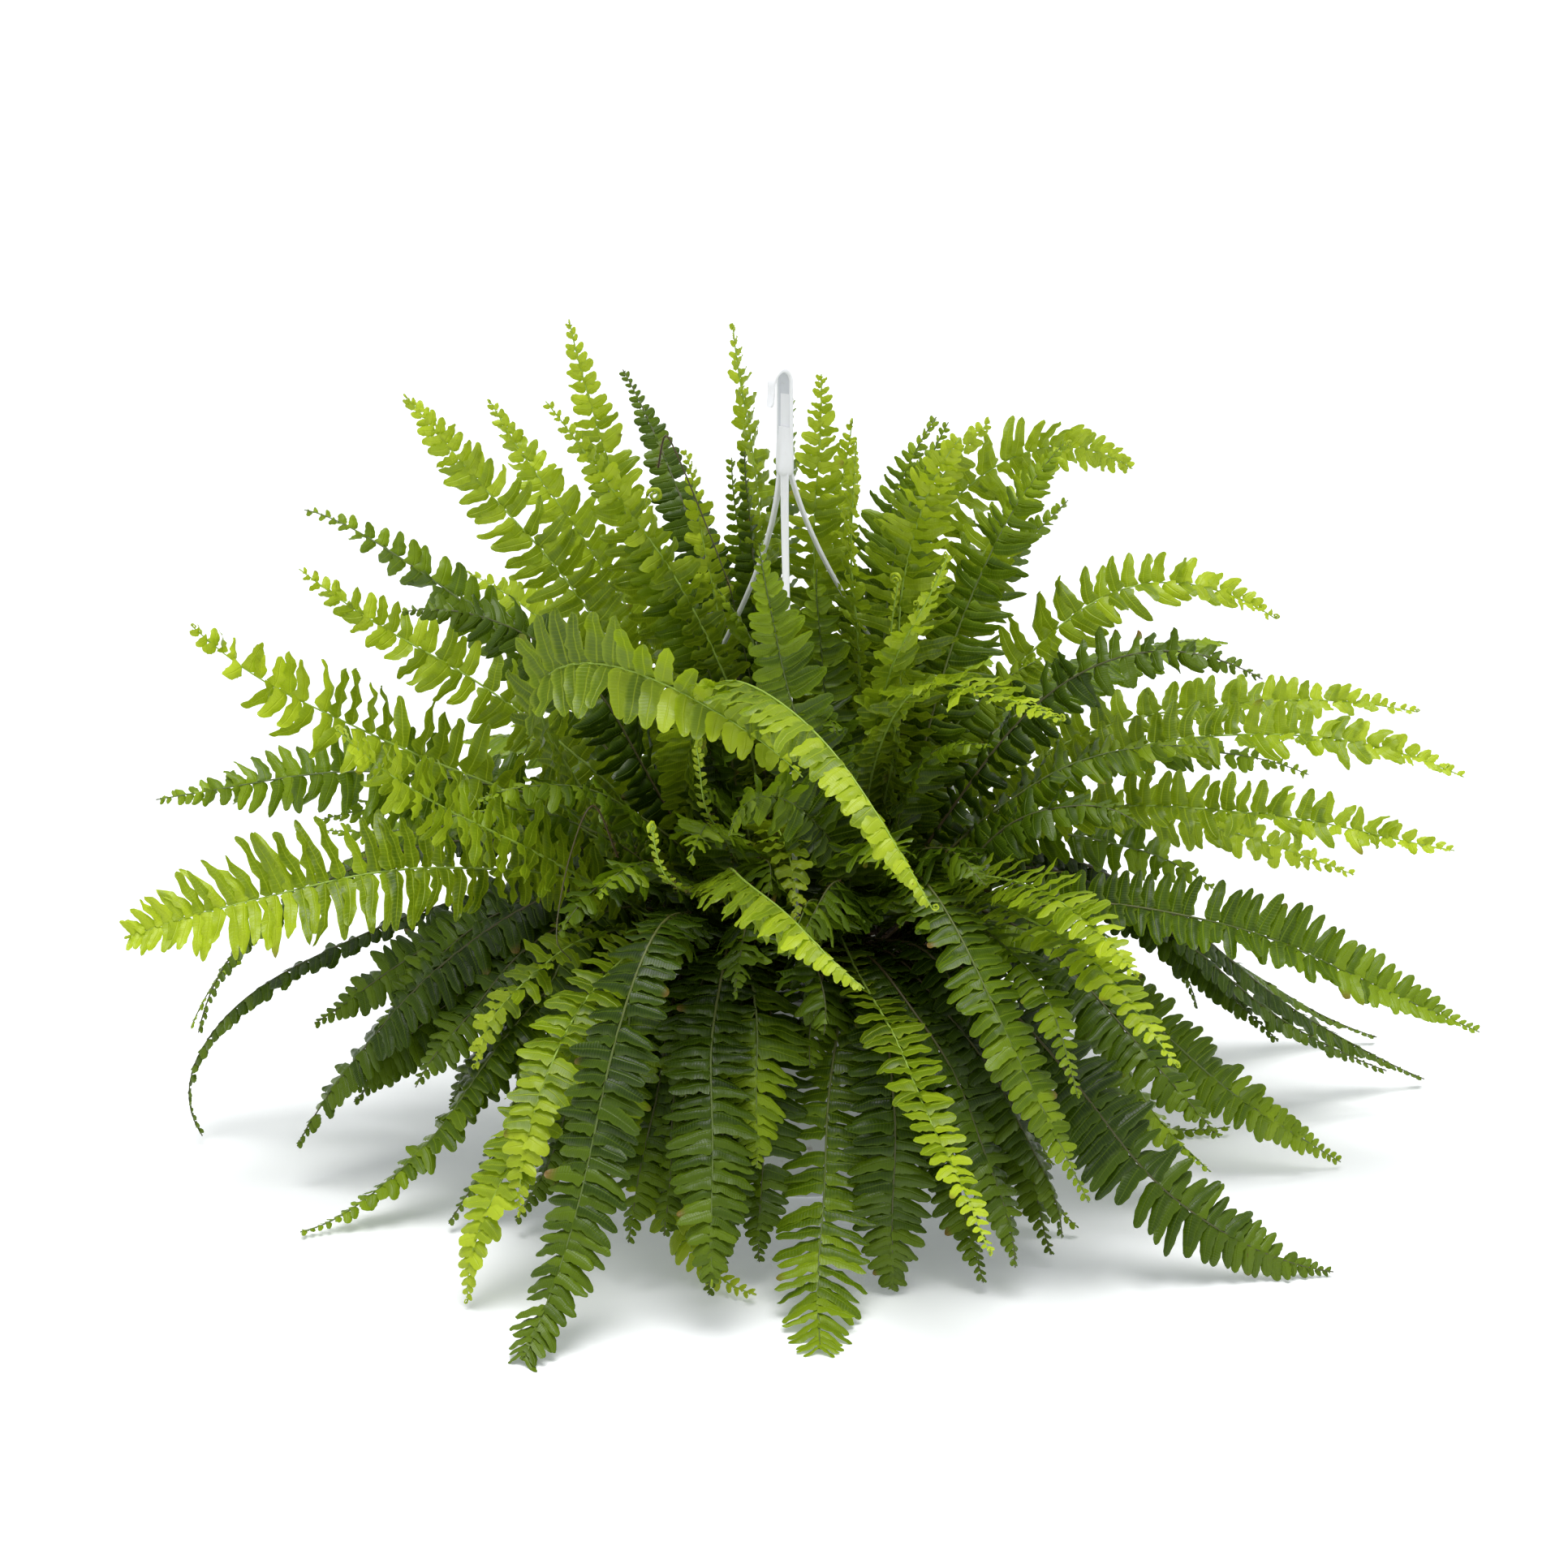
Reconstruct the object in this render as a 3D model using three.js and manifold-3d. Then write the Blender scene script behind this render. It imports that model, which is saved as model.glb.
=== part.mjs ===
// Potted sword fern in a plastic hanging pot, standing on the floor.
// Millimetres. Origin at the centre of the pot's flat base, +Z up, front toward -Y, +X to the right.
import * as THREE from "three";
import { mergeVertices } from "three/addons/utils/BufferGeometryUtils.js";
import Module from "manifold-3d";

const wasm = await Module();
wasm.setup();
const { Manifold, Mesh: SolidMesh } = wasm;

// Pot
const potHeight = 170;
const potRimRadius = 125;
const potBaseRadius = 88;
const potWall = 2.4;
const potFloor = 3;
const rimBand = 16;
const rimStep = 3;
const rimFoot = potHeight - rimBand;
const baseChamfer = 2;
const potSides = 24;

// Soil
const soilLevel = 158;
const soilGap = 0.6;
const holeDepth = 8;
const holeFloorGap = 0.5;
const holeHalf = 2.6;
const collarHeight = 3;

// Hanger
const hookTop = 547;
const stemCentre = [-12.5, 6];
const hookBearing = 240;
const hookRadius = 8.5;
const strapWidths = [5, 12];
const strapThickness = 3;
const hookMouthDrop = 14;
const hookFlare = 2.5;
const hookSteps = 8;
const hubTop = 506;
const hubFoot = 474;
const hubRadii = [2, 6];
const hubSides = 8;
const legWidths = [5.6, 3.6];
const legThickness = 2.4;
const legBearings = [-92, 28, 148];
const legPulls = [0.35, 0.4];
const legSplays = [0.02, 0.26, 0.08];
const legSteps = 8;
const lugReach = 12;
const lugHalf = 9;
const lugThickness = 4;
const lugLevel = 158;
const slotHalfLength = 3.2;
const slotHalfWidth = 2.4;
const slotInset = 6;
const footHalf = 6.5;
const footHeight = 3;
const footGap = 0.4;

// Fronds
const bareShare = 0.2;
const lastLeafletShare = 0.99;
const rollEase = 0.3;
const rootRing = [20, 70];
const usualReach = [0.42, 0.38];
const leafletLean = 0.25;
const leafletDroop = { young: -0.2, grown: 0.12, old: 0.18 };
const leafletTaper = { start: 0.2, span: 0.78, bend: 1.35 };
const leafletSpacing = { young: 66, grown: 70, old: 75 };
const fewestPairs = 3;
const ribHalfWidths = [1.3, 0.7];
const ribThicknesses = [2.4, 1.1];
const leafletTipThickness = 0.8;
const stipeSteps = 1;
const stipeStart = 0.004;

const potPlastic = { color: 0xe9ebe9, roughness: 0.45, metalness: 0 };
const hangerPlastic = { color: 0xf4f6f7, roughness: 0.35, metalness: 0 };
const soilStuff = { color: 0x33261b, roughness: 0.95, metalness: 0 };
const frondGreens = {
  young: { color: 0x86b52a, roughness: 0.45, metalness: 0 },
  grown: { color: 0x4f8a22, roughness: 0.42, metalness: 0 },
  old: { color: 0x2c5a1c, roughness: 0.4, metalness: 0 },
};

// Every frond in sight from the front: name, tip x y z, climb at the root, pitch at the tip,
// root bearing off the tip's, tip heading off it, longest leaflet, roll about its own rib, colour,
// and for an unusual arch its two reaches.
const leadFronds = [
  ["top_1", -155, 70, 560, 80, 76, 12, 0, 20, -70, "young"],
  ["top_2", -45, 110, 550, 82, 70, 0, 0, 18, 30, "young", [0.42, 0.5]],
  ["top_3", 10, 50, 530, 84, 86, 0, 0, 21, 10, "young"],
  ["top_4", -265, 90, 505, 70, 45, 0, 0, 25, -65, "young"],
  ["top_5", -215, 170, 480, 72, 50, -12, 0, 22, -50, "young"],
  ["top_6", -168, -28, 530, 95, 52, 0, 0, 16, -75, "young"],
  ["top_7", -125, 200, 495, 76, 36, 4, 0, 18, -20, "old", [0.42, 0.5]],
  ["top_8", -7, 101, 502, 62, 88, 18, 0, 20, 20, "grown"],
  ["top_9", -81, 66, 474, 80, 73, 7, 0, 16, -20, "young"],
  ["top_10", -129, -2, 468, 81, 54, -13, 0, 22, -40, "grown"],
  ["top_11", 32, 102, 483, 81, 66, 9, 0, 20, -1, "young", [0.45, 0.42]],
  ["top_12", -48, 110, 457, 79, 74, -1, 0, 14, 0, "grown", [0.45, 0.42]],
  ["left_1", -340, 130, 415, 60, 5, 0, 0, 22, -70, "grown", [0.4, 0.15]],
  ["left_2", -335, 40, 400, 58, 35, 0, 0, 23, -65, "young"],
  ["left_3", -394, -68, 393, 40, 43, -12, 0, 32, -45, "young", [0.45, 0.38]],
  ["left_4", -440, 60, 230, 50, -12, -6, 0, 27, -55, "grown"],
  ["left_5", -435, -130, 200, 38, -14, -1, 0, 36, -55, "young"],
  ["left_6", -290, -190, 365, 38, 48, -6, 0, 28, -50, "young"],
  ["left_7", -335, 160, 170, 45, -10, 0, 0, 22, -50, "grown"],
  ["left_8", -326, 50, 218, 47, -15, -17, 0, 24, -60, "grown"],
  ["left_9", -420, 30, 76, 52, -66, 1, 0, 16, 0, "grown", [0.45, 0.42]],
  ["floor_left_1", -410, 0, 8, 42, -40, -12, 140, 15, 0, "old", [0.3, 0.33]],
  ["floor_left_2", -405, -40, 100, 48, -75, -17, 0, 14, 0, "old"],
  ["floor_left_3", -300, -58, 68, 31, -41, -4, 0, 30, -32, "old", [0.36, 0.38]],
  ["floor_left_4", -340, -62, 28, 59, -62, 19, 0, 27, -20, "old"],
  ["floor_left_5", -330, -150, 6, 42, 0, -2, 0, 19, 0, "grown"],
  ["front_1", -211, -258, 6, 34, -92, 6, -15, 23, 2, "young", [0.29, 0.32]],
  ["front_2", -175, -342, 6, 40, -28, 14, -1, 26, 2, "grown", [0.97, 0.44]],
  ["front_3", -60, -300, 38, 52, -75, -17, 0, 26, 0, "grown"],
  ["front_4", -30, -240, 88, 55, -85, -15, 0, 31, 0, "grown"],
  ["front_5", 7, -326, 6, 56, -1, 16, 0, 29, 1, "grown"],
  ["front_6", 53, -240, 6, 32, -91, 8, 48, 27, -3, "old", [0.66, 0.22]],
  ["front_7", 114, -340, 75, 76, -33, -8, 7, 18, 0, "young", [0.22, 0.66]],
  ["front_8", 135, -247, 23, 42, -74, -13, -6, 26, 0, "old", [0.55, 0.21]],
  ["front_9", -32, -249, 8, 60, -3, -49, 70, 20, 4, "young", [0.5, 0.5]],
  ["front_10", 170, -245, 140, 50, -70, 15, 0, 18, 0, "grown"],
  ["front_11", 179, -252, 71, 62, -61, -23, 44, 21, 8, "grown", [0.72, 0.67]],
  ["front_12", 205, -270, 230, 52, -30, 5, 0, 22, 10, "young"],
  ["front_13", 230, -270, 170, 50, -45, 0, 0, 21, 10, "young"],
  ["front_14", -125, -225, 84, 33, -38, -15, 9, 25, 9, "grown", [0.71, 0.57]],
  ["front_15", -90, -225, 35, 50, -75, -12, 0, 26, 0, "old"],
  ["front_16", -180, -249, 62, 56, -87, -19, 0, 20, -4, "young"],
  ["front_17", -111, -229, 32, 49, -71, 2, 0, 26, 0, "old"],
  ["front_18", -51, -230, 12, 58, -85, -37, 0, 26, 4, "old"],
  ["front_19", -27, -226, 17, 62, -87, 8, 0, 26, 7, "old"],
  ["front_20", 92, -204, 49, 49, -63, 4, 0, 24, -5, "old"],
  ["front_21", 163, -210, 26, 54, -84, -20, 0, 24, -2, "old"],
  ["front_22", 267, -110, 27, 24, -33, 19, -1, 26, 1, "grown", [0.66, 0.43]],
  ["front_23", 180, -151, 8, 52, -35, -7, 26, 20, 0, "grown", [0.55, 0.4]],
  ["front_24", -82, -203, 9, 67, -67, 2, 12, 28, 1, "old", [0.44, 0.7]],
  ["front_25", 162, -195, 9, 51, -57, 18, 0, 22, 0, "old", [0.42, 0.38]],
  ["front_26", -61, -255, 8, 38, -75, 6, 0, 24, 0, "old", [0.45, 0.42]],
  ["front_28", 111, -239, 8, 46, -59, 16, 0, 24, -1, "old", [0.45, 0.42]],
  ["low_right_1", 340, -211, 6, 30, -11, -21, 42, 31, 21, "old", [0.5, 0.47]],
  ["low_right_2", 363, -39, 6, 39, -31, 27, 31, 22, 25, "grown", [0.31, 0.61]],
  ["low_right_3", 293, 16, 8, 40, 10, 21, -6, 20, 18, "grown", [0.57, 0.7]],
  ["low_right_4", 414, 185, 6, 44, -20, 0, -22, 18, 10, "old", [0.36, 0.4]],
  ["low_right_5", 439, 104, 8, 44, -25, 0, 0, 17, 10, "old", [0.42, 0.5]],
  ["low_right_6", 450, -60, 110, 30, -22, -9, 0, 26, 42, "grown", [0.38, 0.42]],
  ["low_right_7", 327, 59, 52, 47, -52, 1, 0, 18, 30, "old"],
  ["low_right_8", 276, 96, 64, 44, -79, 0, 0, 16, 20, "old"],
  ["low_right_9", 268, -156, 72, 53, -43, 17, 0, 24, 20, "old", [0.45, 0.42]],
  ["low_right_10", 405, 59, 33, 40, -20, -1, 0, 15, 10, "old", [0.45, 0.42]],
  ["right_1", 380, 90, 165, 44, -27, 0, 0, 21, 55, "young"],
  ["right_2", 430, -40, 230, 52, -12, 0, 0, 26, 42, "young"],
  ["right_3", 444, 36, 253, 61, -28, -3, 0, 26, 42, "young"],
  ["right_4", 425, 140, 265, 60, -15, 0, 0, 22, 42, "young"],
  ["right_5", 350, 110, 230, 52, -25, 9, 0, 18, 45, "grown"],
  ["right_6", 315, 60, 360, 70, -38, 0, 0, 29, 45, "young", [0.48, 0.42]],
  ["right_7", 300, -30, 345, 64, -26, 0, 0, 26, 50, "old", [0.48, 0.42]],
  ["right_8", 281, 37, 176, 57, -36, -1, 0, 24, 50, "grown"],
  ["crest_1", 225, 130, 445, 76, -32, 50, 0, 28, 40, "young", [0.5, 0.42]],
  ["crest_2", 175, 60, 480, 70, 42, -25, 0, 29, 60, "grown"],
  ["crest_3", 103, -21, 505, 72, 55, 10, 0, 30, 81, "young"],
  ["crest_4", 160, -190, 370, 80, -5, -30, 0, 25, 30, "young", [0.7, 0.45]],
  ["crest_5", 76, -62, 406, 75, 72, 15, 0, 21, 45, "young"],
  ["crest_6", 89, -128, 457, 88, 55, -29, 0, 16, 30, "young"],
  ["crest_7", 96, 38, 500, 84, 58, -8, 0, 24, 54, "grown"],
  ["crest_8", 177, 83, 473, 64, 37, -4, 0, 24, 47, "young"],
  ["crest_9", 88, 57, 499, 72, 53, -1, 0, 22, 52, "grown", [0.42, 0.38]],
  ["crest_10", 123, 80, 492, 52, 37, 20, 0, 24, 50, "young", [0.42, 0.38]],
  ["crest_11", 177, 88, 435, 79, 37, 36, 0, 24, 54, "grown", [0.42, 0.38]],
  ["middle_1", 34, -38, 507, 80, 79, 40, 0, 19, 30, "young"],
  ["middle_2", -28, -140, 468, 66, 82, 34, 0, 25, 0, "grown"],
  ["middle_3", -39, 65, 474, 89, 85, 21, 0, 15, 0, "old"],
  ["over_1", 0, -225, 345, 48, -30, -84, 44, 33, 0, "young", [1.25, 0.38]],
  ["over_2", 35, -330, 245, 60, -32, -41, 59, 23, 0, "young", [0.5, 0.3]],
  ["over_3", 77, -329, 297, 73, -54, -44, 36, 25, 0, "young", [0.8, 0.45]],
  ["inner_1", -262, -31, 392, 65, -2, 2, 0, 27, -50, "old"],
  ["inner_2", -231, 191, 352, 51, 17, 4, 0, 22, -50, "young"],
  ["inner_3", -210, -107, 287, 67, -20, 12, 0, 27, -12, "grown"],
  ["inner_4", -132, -164, 243, 67, -40, 9, 0, 27, 0, "grown"],
  ["inner_5", -243, -87, 264, 65, -13, 7, 0, 26, -30, "grown"],
  ["inner_6", -73, -182, 273, 69, -40, -6, 0, 26, 0, "grown"],
  ["inner_7", 60, -186, 262, 68, -45, 0, 0, 26, 3, "grown"],
  ["inner_8", 114, -183, 258, 62, -33, 6, 0, 26, 4, "old"],
  ["inner_9", 215, -108, 270, 56, -24, 8, 0, 26, 21, "old"],
  ["inner_10", 267, -25, 295, 53, -6, -17, 0, 26, 30, "grown"],
  ["inner_11", -8, -201, 214, 64, -51, 21, 0, 26, 2, "grown"],
  ["inner_12", -45, -221, 198, 66, -59, 44, 0, 27, 0, "old"],
  ["inner_13", 13, -211, 167, 56, -81, -75, 0, 27, 0, "old"],
  ["inner_14", -95, -184, 195, 67, -57, -4, 0, 26, 0, "old"],
  ["inner_15", 95, -190, 210, 60, -55, -5, 0, 26, 0, "grown"],
  ["inner_16", -159, -133, 207, 68, -46, -1, 0, 26, 2, "old"],
  ["inner_17", 164, -130, 190, 53, -31, 5, 0, 26, 19, "grown"],
  ["inner_18", -47, -186, 292, 52, -49, 65, 0, 26, 0, "grown"],
  ["inner_19", 20, -131, 342, 75, -19, -38, 0, 25, 10, "old"],
  ["inner_20", -70, -103, 291, 77, -2, 0, 0, 24, -1, "old"],
  ["inner_21", 120, -74, 314, 74, 1, -23, 0, 24, 14, "grown"],
  ["inner_22", 159, 13, 344, 78, 22, 13, 0, 22, 40, "grown"],
  ["inner_23", -118, -80, 360, 85, 19, 44, 0, 24, -17, "old"],
  ["inner_24", -60, -7, 403, 75, 57, 5, 0, 20, 0, "grown"],
  ["inner_25", 9, -37, 423, 72, 68, -6, 0, 20, 0, "grown"],
  ["inner_26", -24, -171, 247, 68, -55, -17, 0, 26, 0, "old", [0.42, 0.38]],
  ["inner_27", -4, -211, 229, 69, -53, 31, -42, 26, -9, "old", [0.42, 0.38]],
  ["skirt_1", -200, -95, 43, 45, -69, -1, 0, 20, 0, "grown", [0.75, 0.4]],
  ["skirt_2", 57, -182, 16, 28, -70, -13, 0, 20, 11, "old", [0.75, 0.4]],
  ["skirt_3", 136, -172, 24, 40, -81, 2, 0, 20, -3, "old", [0.75, 0.4]],
  ["skirt_4", 162, -129, 41, 37, -53, 3, 0, 24, -5, "grown", [0.75, 0.4]],
  ["skirt_5", 191, -83, 35, 47, -65, 3, 0, 22, 0, "old", [0.75, 0.4]],
  ["skirt_6", 4, -189, 136, 52, -70, 5, 0, 24, 0, "old", [0.42, 0.38]],
  ["skirt_8", -75, -203, 115, 58, -97, -12, 0, 24, 0, "old", [0.42, 0.38]],
  ["low_left_1", -330, -20, 100, 42, -30, -6, 0, 26, -40, "old"],
  ["low_left_2", -304, 72, 84, 44, -39, -17, 0, 24, -40, "old"],
  ["low_left_3", -255, -100, 85, 48, -60, 0, 0, 26, -20, "old"],
  ["low_left_4", -239, -83, 41, 40, -63, -17, 0, 26, -20, "old"],
  ["low_left_5", -232, -143, 6, 48, -48, 10, 0, 20, 0, "old"],
  ["low_left_6", -212, -139, 116, 41, -70, -1, 0, 20, 0, "young"],
  ["low_left_7", -187, -164, 67, 63, -68, 2, 0, 26, 4, "old", [0.42, 0.38]],
  ["low_left_8", -238, -49, 52, 42, -59, -13, 0, 28, -25, "old", [0.42, 0.38]],
  ["low_left_9", -281, -34, 105, 53, -58, -20, 0, 26, -42, "old", [0.42, 0.38]],
  ["low_left_10", -187, -153, 12, 50, -50, -12, 0, 24, 0, "old", [0.42, 0.38]],
  ["low_left_11", -304, -30, 46, 38, -44, -18, 0, 24, -30, "old", [0.45, 0.42]],
];

// Fronds that share one crown grow from the first one's root and are one body.
const sharedCrowns = [
  ["top_1", "top_6", "top_10"],
  ["top_2", "top_8", "top_12"],
  ["top_3", "top_11"],
  ["top_5", "inner_2"],
  ["top_7", "top_9", "middle_3"],
  ["left_2", "left_3", "left_9"],
  ["left_4", "left_7", "left_8"],
  ["left_5", "low_left_9"],
  ["left_6", "low_left_7", "low_left_10"],
  ["floor_left_1", "floor_left_2", "low_left_2"],
  ["floor_left_3", "floor_left_4", "low_left_1", "low_left_3", "low_left_8"],
  ["floor_left_5", "inner_5", "skirt_1", "low_left_4", "low_left_5", "low_left_6"],
  ["front_9", "front_1", "inner_3", "inner_16"],
  ["front_14", "front_2", "front_16", "front_17", "inner_4", "inner_14"],
  ["front_4", "front_19", "front_26", "inner_26"],
  ["front_5", "inner_7", "inner_11", "inner_13", "inner_27", "skirt_6"],
  ["front_6", "front_20", "skirt_2"],
  ["front_8", "front_21", "front_23", "front_28", "skirt_3"],
  ["front_10", "front_11", "front_22", "front_25", "low_right_9", "skirt_4"],
  ["front_12", "front_13"],
  ["front_15", "front_18", "front_24", "inner_12", "skirt_8"],
  ["low_right_1", "inner_9", "inner_17", "skirt_5"],
  ["low_right_2", "low_right_3"],
  ["low_right_4", "low_right_7", "low_right_8"],
  ["low_right_5", "low_right_10", "right_8"],
  ["right_4", "right_1"],
  ["right_2", "right_3"],
  ["right_6", "crest_11"],
  ["right_7", "inner_10", "inner_21", "inner_22"],
  ["crest_1", "crest_9", "crest_10"],
  ["crest_2", "crest_8"],
  ["crest_3", "crest_7"],
  ["crest_5", "crest_4", "crest_6"],
  ["middle_1", "inner_24", "inner_25"],
  ["middle_2", "inner_18", "inner_19"],
  ["over_1", "over_3", "inner_20", "low_left_11"],
  ["over_2", "inner_6"],
  ["inner_1", "inner_23"],
];

// Fronds out of sight behind: crowns set evenly round the back, each with one low and one high frond.
const backSeed = 41;
const backCrowns = 9;
const backBearings = [36, 140];
const backJitter = 0.3;
const backLean = 4;
const backStagger = 8;
const backSpacing = 95;
const backTiers = [
  { spread: [270, 350], height: [10, 60], climb: 50, pitch: -55, leaflet: [18, 24], look: "old" },
  { spread: [340, 410], height: [190, 280], climb: 55, pitch: -18, leaflet: [18, 25], look: "grown" },
];

const radians = (degrees) => degrees * Math.PI / 180;

const pointing = (bearing, pitch) => new THREE.Vector3(
  Math.cos(radians(pitch)) * Math.cos(radians(bearing)),
  Math.cos(radians(pitch)) * Math.sin(radians(bearing)),
  Math.sin(radians(pitch)),
);

const mix = (pair, share) => pair[0] + (pair[1] - pair[0]) * share;

// A position-only mesh with its shared corners merged, as a solid that can be joined and cut.
function toSolid(geometry) {
  const plain = new THREE.BufferGeometry();
  plain.setAttribute("position", geometry.getAttribute("position").clone());
  if (geometry.index) plain.setIndex(geometry.index.clone());
  const welded = mergeVertices(plain, 1e-4);
  return new Manifold(new SolidMesh({
    numProp: 3,
    vertProperties: new Float32Array(welded.getAttribute("position").array),
    triVerts: new Uint32Array(welded.index.array),
  }));
}

function fromSolid(solid) {
  const mesh = solid.getMesh();
  const points = [];
  for (let i = 0; i < mesh.vertProperties.length; i += mesh.numProp) {
    points.push(mesh.vertProperties[i], mesh.vertProperties[i + 1], mesh.vertProperties[i + 2]);
  }
  const geometry = new THREE.BufferGeometry();
  geometry.setAttribute("position", new THREE.Float32BufferAttribute(points, 3));
  geometry.setIndex(Array.from(mesh.triVerts));
  geometry.computeVertexNormals();
  return geometry;
}

const joined = (geometries) => fromSolid(Manifold.union(geometries.map(toSolid)));

function carved(geometry, tools) {
  return fromSolid(toSolid(geometry).subtract(Manifold.union(tools.map(toSolid))));
}

function named(name, geometry, look) {
  const mesh = new THREE.Mesh(geometry, new THREE.MeshStandardMaterial({ ...look, name: `${name}_look` }));
  mesh.name = name;
  return mesh;
}

// A closed turned body from [radius, height] points that start and end on the axis.
function turned(profile, sides) {
  const lathe = new THREE.LatheGeometry(profile.map(([r, z]) => new THREE.Vector2(r, z)), sides);
  lathe.rotateX(Math.PI / 2);
  return lathe;
}

// A closed bar through sections of equally many corners, each section listed the same way round.
function bar(sections) {
  const corners = sections[0].length;
  const points = sections.flat().flatMap((p) => [p.x, p.y, p.z]);
  const faces = [];
  for (let i = 0; i + 1 < sections.length; i++) {
    for (let k = 0; k < corners; k++) {
      const a = i * corners + k;
      const b = i * corners + (k + 1) % corners;
      faces.push(a, b, b + corners, a, b + corners, a + corners);
    }
  }
  const last = (sections.length - 1) * corners;
  for (let k = 1; k + 1 < corners; k++) {
    faces.push(0, k + 1, k);
    faces.push(last, last + k, last + k + 1);
  }
  const geometry = new THREE.BufferGeometry();
  geometry.setAttribute("position", new THREE.Float32BufferAttribute(points, 3));
  geometry.setIndex(faces);
  return geometry;
}

// A flat strap along a smooth line, its width along the given side direction and set for each point.
function strap(points, side, widths, thickness) {
  const sections = points.map((p, i) => {
    const next = points[Math.min(i + 1, points.length - 1)];
    const along = next.clone().sub(points[Math.max(i - 1, 0)]).normalize();
    const across = side.clone().addScaledVector(along, -side.dot(along)).normalize();
    const out = new THREE.Vector3().crossVectors(along, across);
    const corner = (a, b) => p.clone()
      .addScaledVector(across, a * widths[i] / 2)
      .addScaledVector(out, b * thickness / 2);
    return [corner(-1, -1), corner(1, -1), corner(1, 1), corner(-1, 1)];
  });
  return bar(sections);
}

const innerRadii = [potBaseRadius - potWall, potRimRadius - potWall - rimStep];

// A tapered pot with a stepped rim band, and a slotted lug for each leg of the hanger.
function pot() {
  const profile = [
    [0, 0],
    [potBaseRadius - baseChamfer, 0],
    [potBaseRadius, baseChamfer],
    [potRimRadius - rimStep, rimFoot],
    [potRimRadius, rimFoot],
    [potRimRadius, potHeight],
    [potRimRadius - potWall, potHeight],
    [innerRadii[1], rimFoot],
    [innerRadii[0], potFloor],
    [0, potFloor],
  ];
  const lugs = legBearings.map((bearing) => {
    const lug = new THREE.BoxGeometry(lugReach + rimStep, 2 * lugHalf, lugThickness);
    lug.translate(potRimRadius + (lugReach - rimStep) / 2, 0, lugLevel);
    lug.rotateZ(radians(bearing));
    return lug;
  });
  const slots = legBearings.map((bearing) => {
    const slot = new THREE.BoxGeometry(2 * slotHalfWidth, 2 * slotHalfLength, 2 * lugThickness);
    slot.translate(potRimRadius + slotInset, 0, lugLevel);
    slot.rotateZ(radians(bearing));
    return slot;
  });
  return carved(joined([turned(profile, potSides), ...lugs]), slots);
}

// The soil fills the pot to just under the rim, with a hole for each crown.
function soil(roots) {
  const bottom = potFloor + soilGap;
  const profile = [
    [0, bottom],
    [innerRadii[0] - soilGap, bottom],
    [innerRadii[1] - soilGap, rimFoot],
    [innerRadii[1] - soilGap, soilLevel],
    [0, soilLevel],
  ];
  const holes = roots.map((root) => {
    const hole = new THREE.BoxGeometry(2 * holeHalf, 2 * holeHalf, 2 * (holeDepth + holeFloorGap));
    hole.translate(root.x, root.y, soilLevel);
    return hole;
  });
  return carved(turned(profile, potSides), holes);
}

// The hanger: a hook bent from tapering strap, a hub, and three legs with feet under the pot's lugs.
function hanger() {
  const axis = new THREE.Vector3(stemCentre[0], stemCentre[1], 0);
  const arcLevel = hookTop - strapThickness / 2 - hookRadius;
  const toMouth = pointing(hookBearing, 0);
  const inPlane = (reach, z) => axis.clone().addScaledVector(toMouth, reach).setZ(z);
  const line = [inPlane(2 * hookRadius + hookFlare, arcLevel - hookMouthDrop)];
  const widths = [strapWidths[0]];
  for (let i = 0; i <= hookSteps; i++) {
    const angle = Math.PI * i / hookSteps;
    line.push(inPlane(hookRadius * (1 + Math.cos(angle)), arcLevel + hookRadius * Math.sin(angle)));
    widths.push(mix(strapWidths, i / hookSteps));
  }
  line.push(inPlane(0, hubFoot + strapThickness));
  widths.push(strapWidths[1]);
  const hook = strap(line, pointing(hookBearing - 90, 0), widths, strapThickness);
  const hub = new THREE.CylinderGeometry(...hubRadii, hubTop - hubFoot, hubSides);
  hub.rotateX(Math.PI / 2);
  hub.translate(...stemCentre, (hubTop + hubFoot) / 2);
  const footLevel = lugLevel - lugThickness / 2 - footGap - footHeight / 2;
  const legs = legBearings.map((bearing, k) => {
    const outward = pointing(bearing, 0);
    const start = inPlane(0, hubFoot + legThickness).addScaledVector(outward, hubRadii[1] - legThickness);
    const end = outward.clone().multiplyScalar(potRimRadius + slotInset).setZ(footLevel);
    const drop = start.z - end.z;
    const pull = new THREE.Vector3(0, 0, -1).addScaledVector(outward, legSplays[k]);
    const curve = new THREE.CubicBezierCurve3(
      start,
      start.clone().addScaledVector(pull, drop * legPulls[0]),
      end.clone().setZ(end.z + drop * legPulls[1]),
      end,
    );
    const points = curve.getSpacedPoints(legSteps);
    const narrowing = points.map((_, i) => mix(legWidths, Math.min(1, 2 * i / legSteps)));
    return strap(points, pointing(bearing + 90, 0), narrowing, legThickness);
  });
  const feet = legBearings.map((bearing) => {
    const foot = new THREE.BoxGeometry(legThickness, 2 * footHalf, footHeight);
    foot.translate(potRimRadius + slotInset, 0, footLevel);
    foot.rotateZ(radians(bearing));
    return foot;
  });
  return joined([hook, hub, ...legs, ...feet]);
}

const degrees = (angle) => angle * 180 / Math.PI;

const asFrond = ([name, x, y, z, climb, pitch, turn, head, leaflet, roll, look, reach, spacing]) => ({
  name,
  tip: new THREE.Vector3(x, y, z),
  bearing: degrees(Math.atan2(y, x)),
  climb,
  pitch,
  turn,
  head,
  leaflet,
  roll,
  look,
  reach: reach ?? usualReach,
  spacing: spacing ?? leafletSpacing[look],
});

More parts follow.
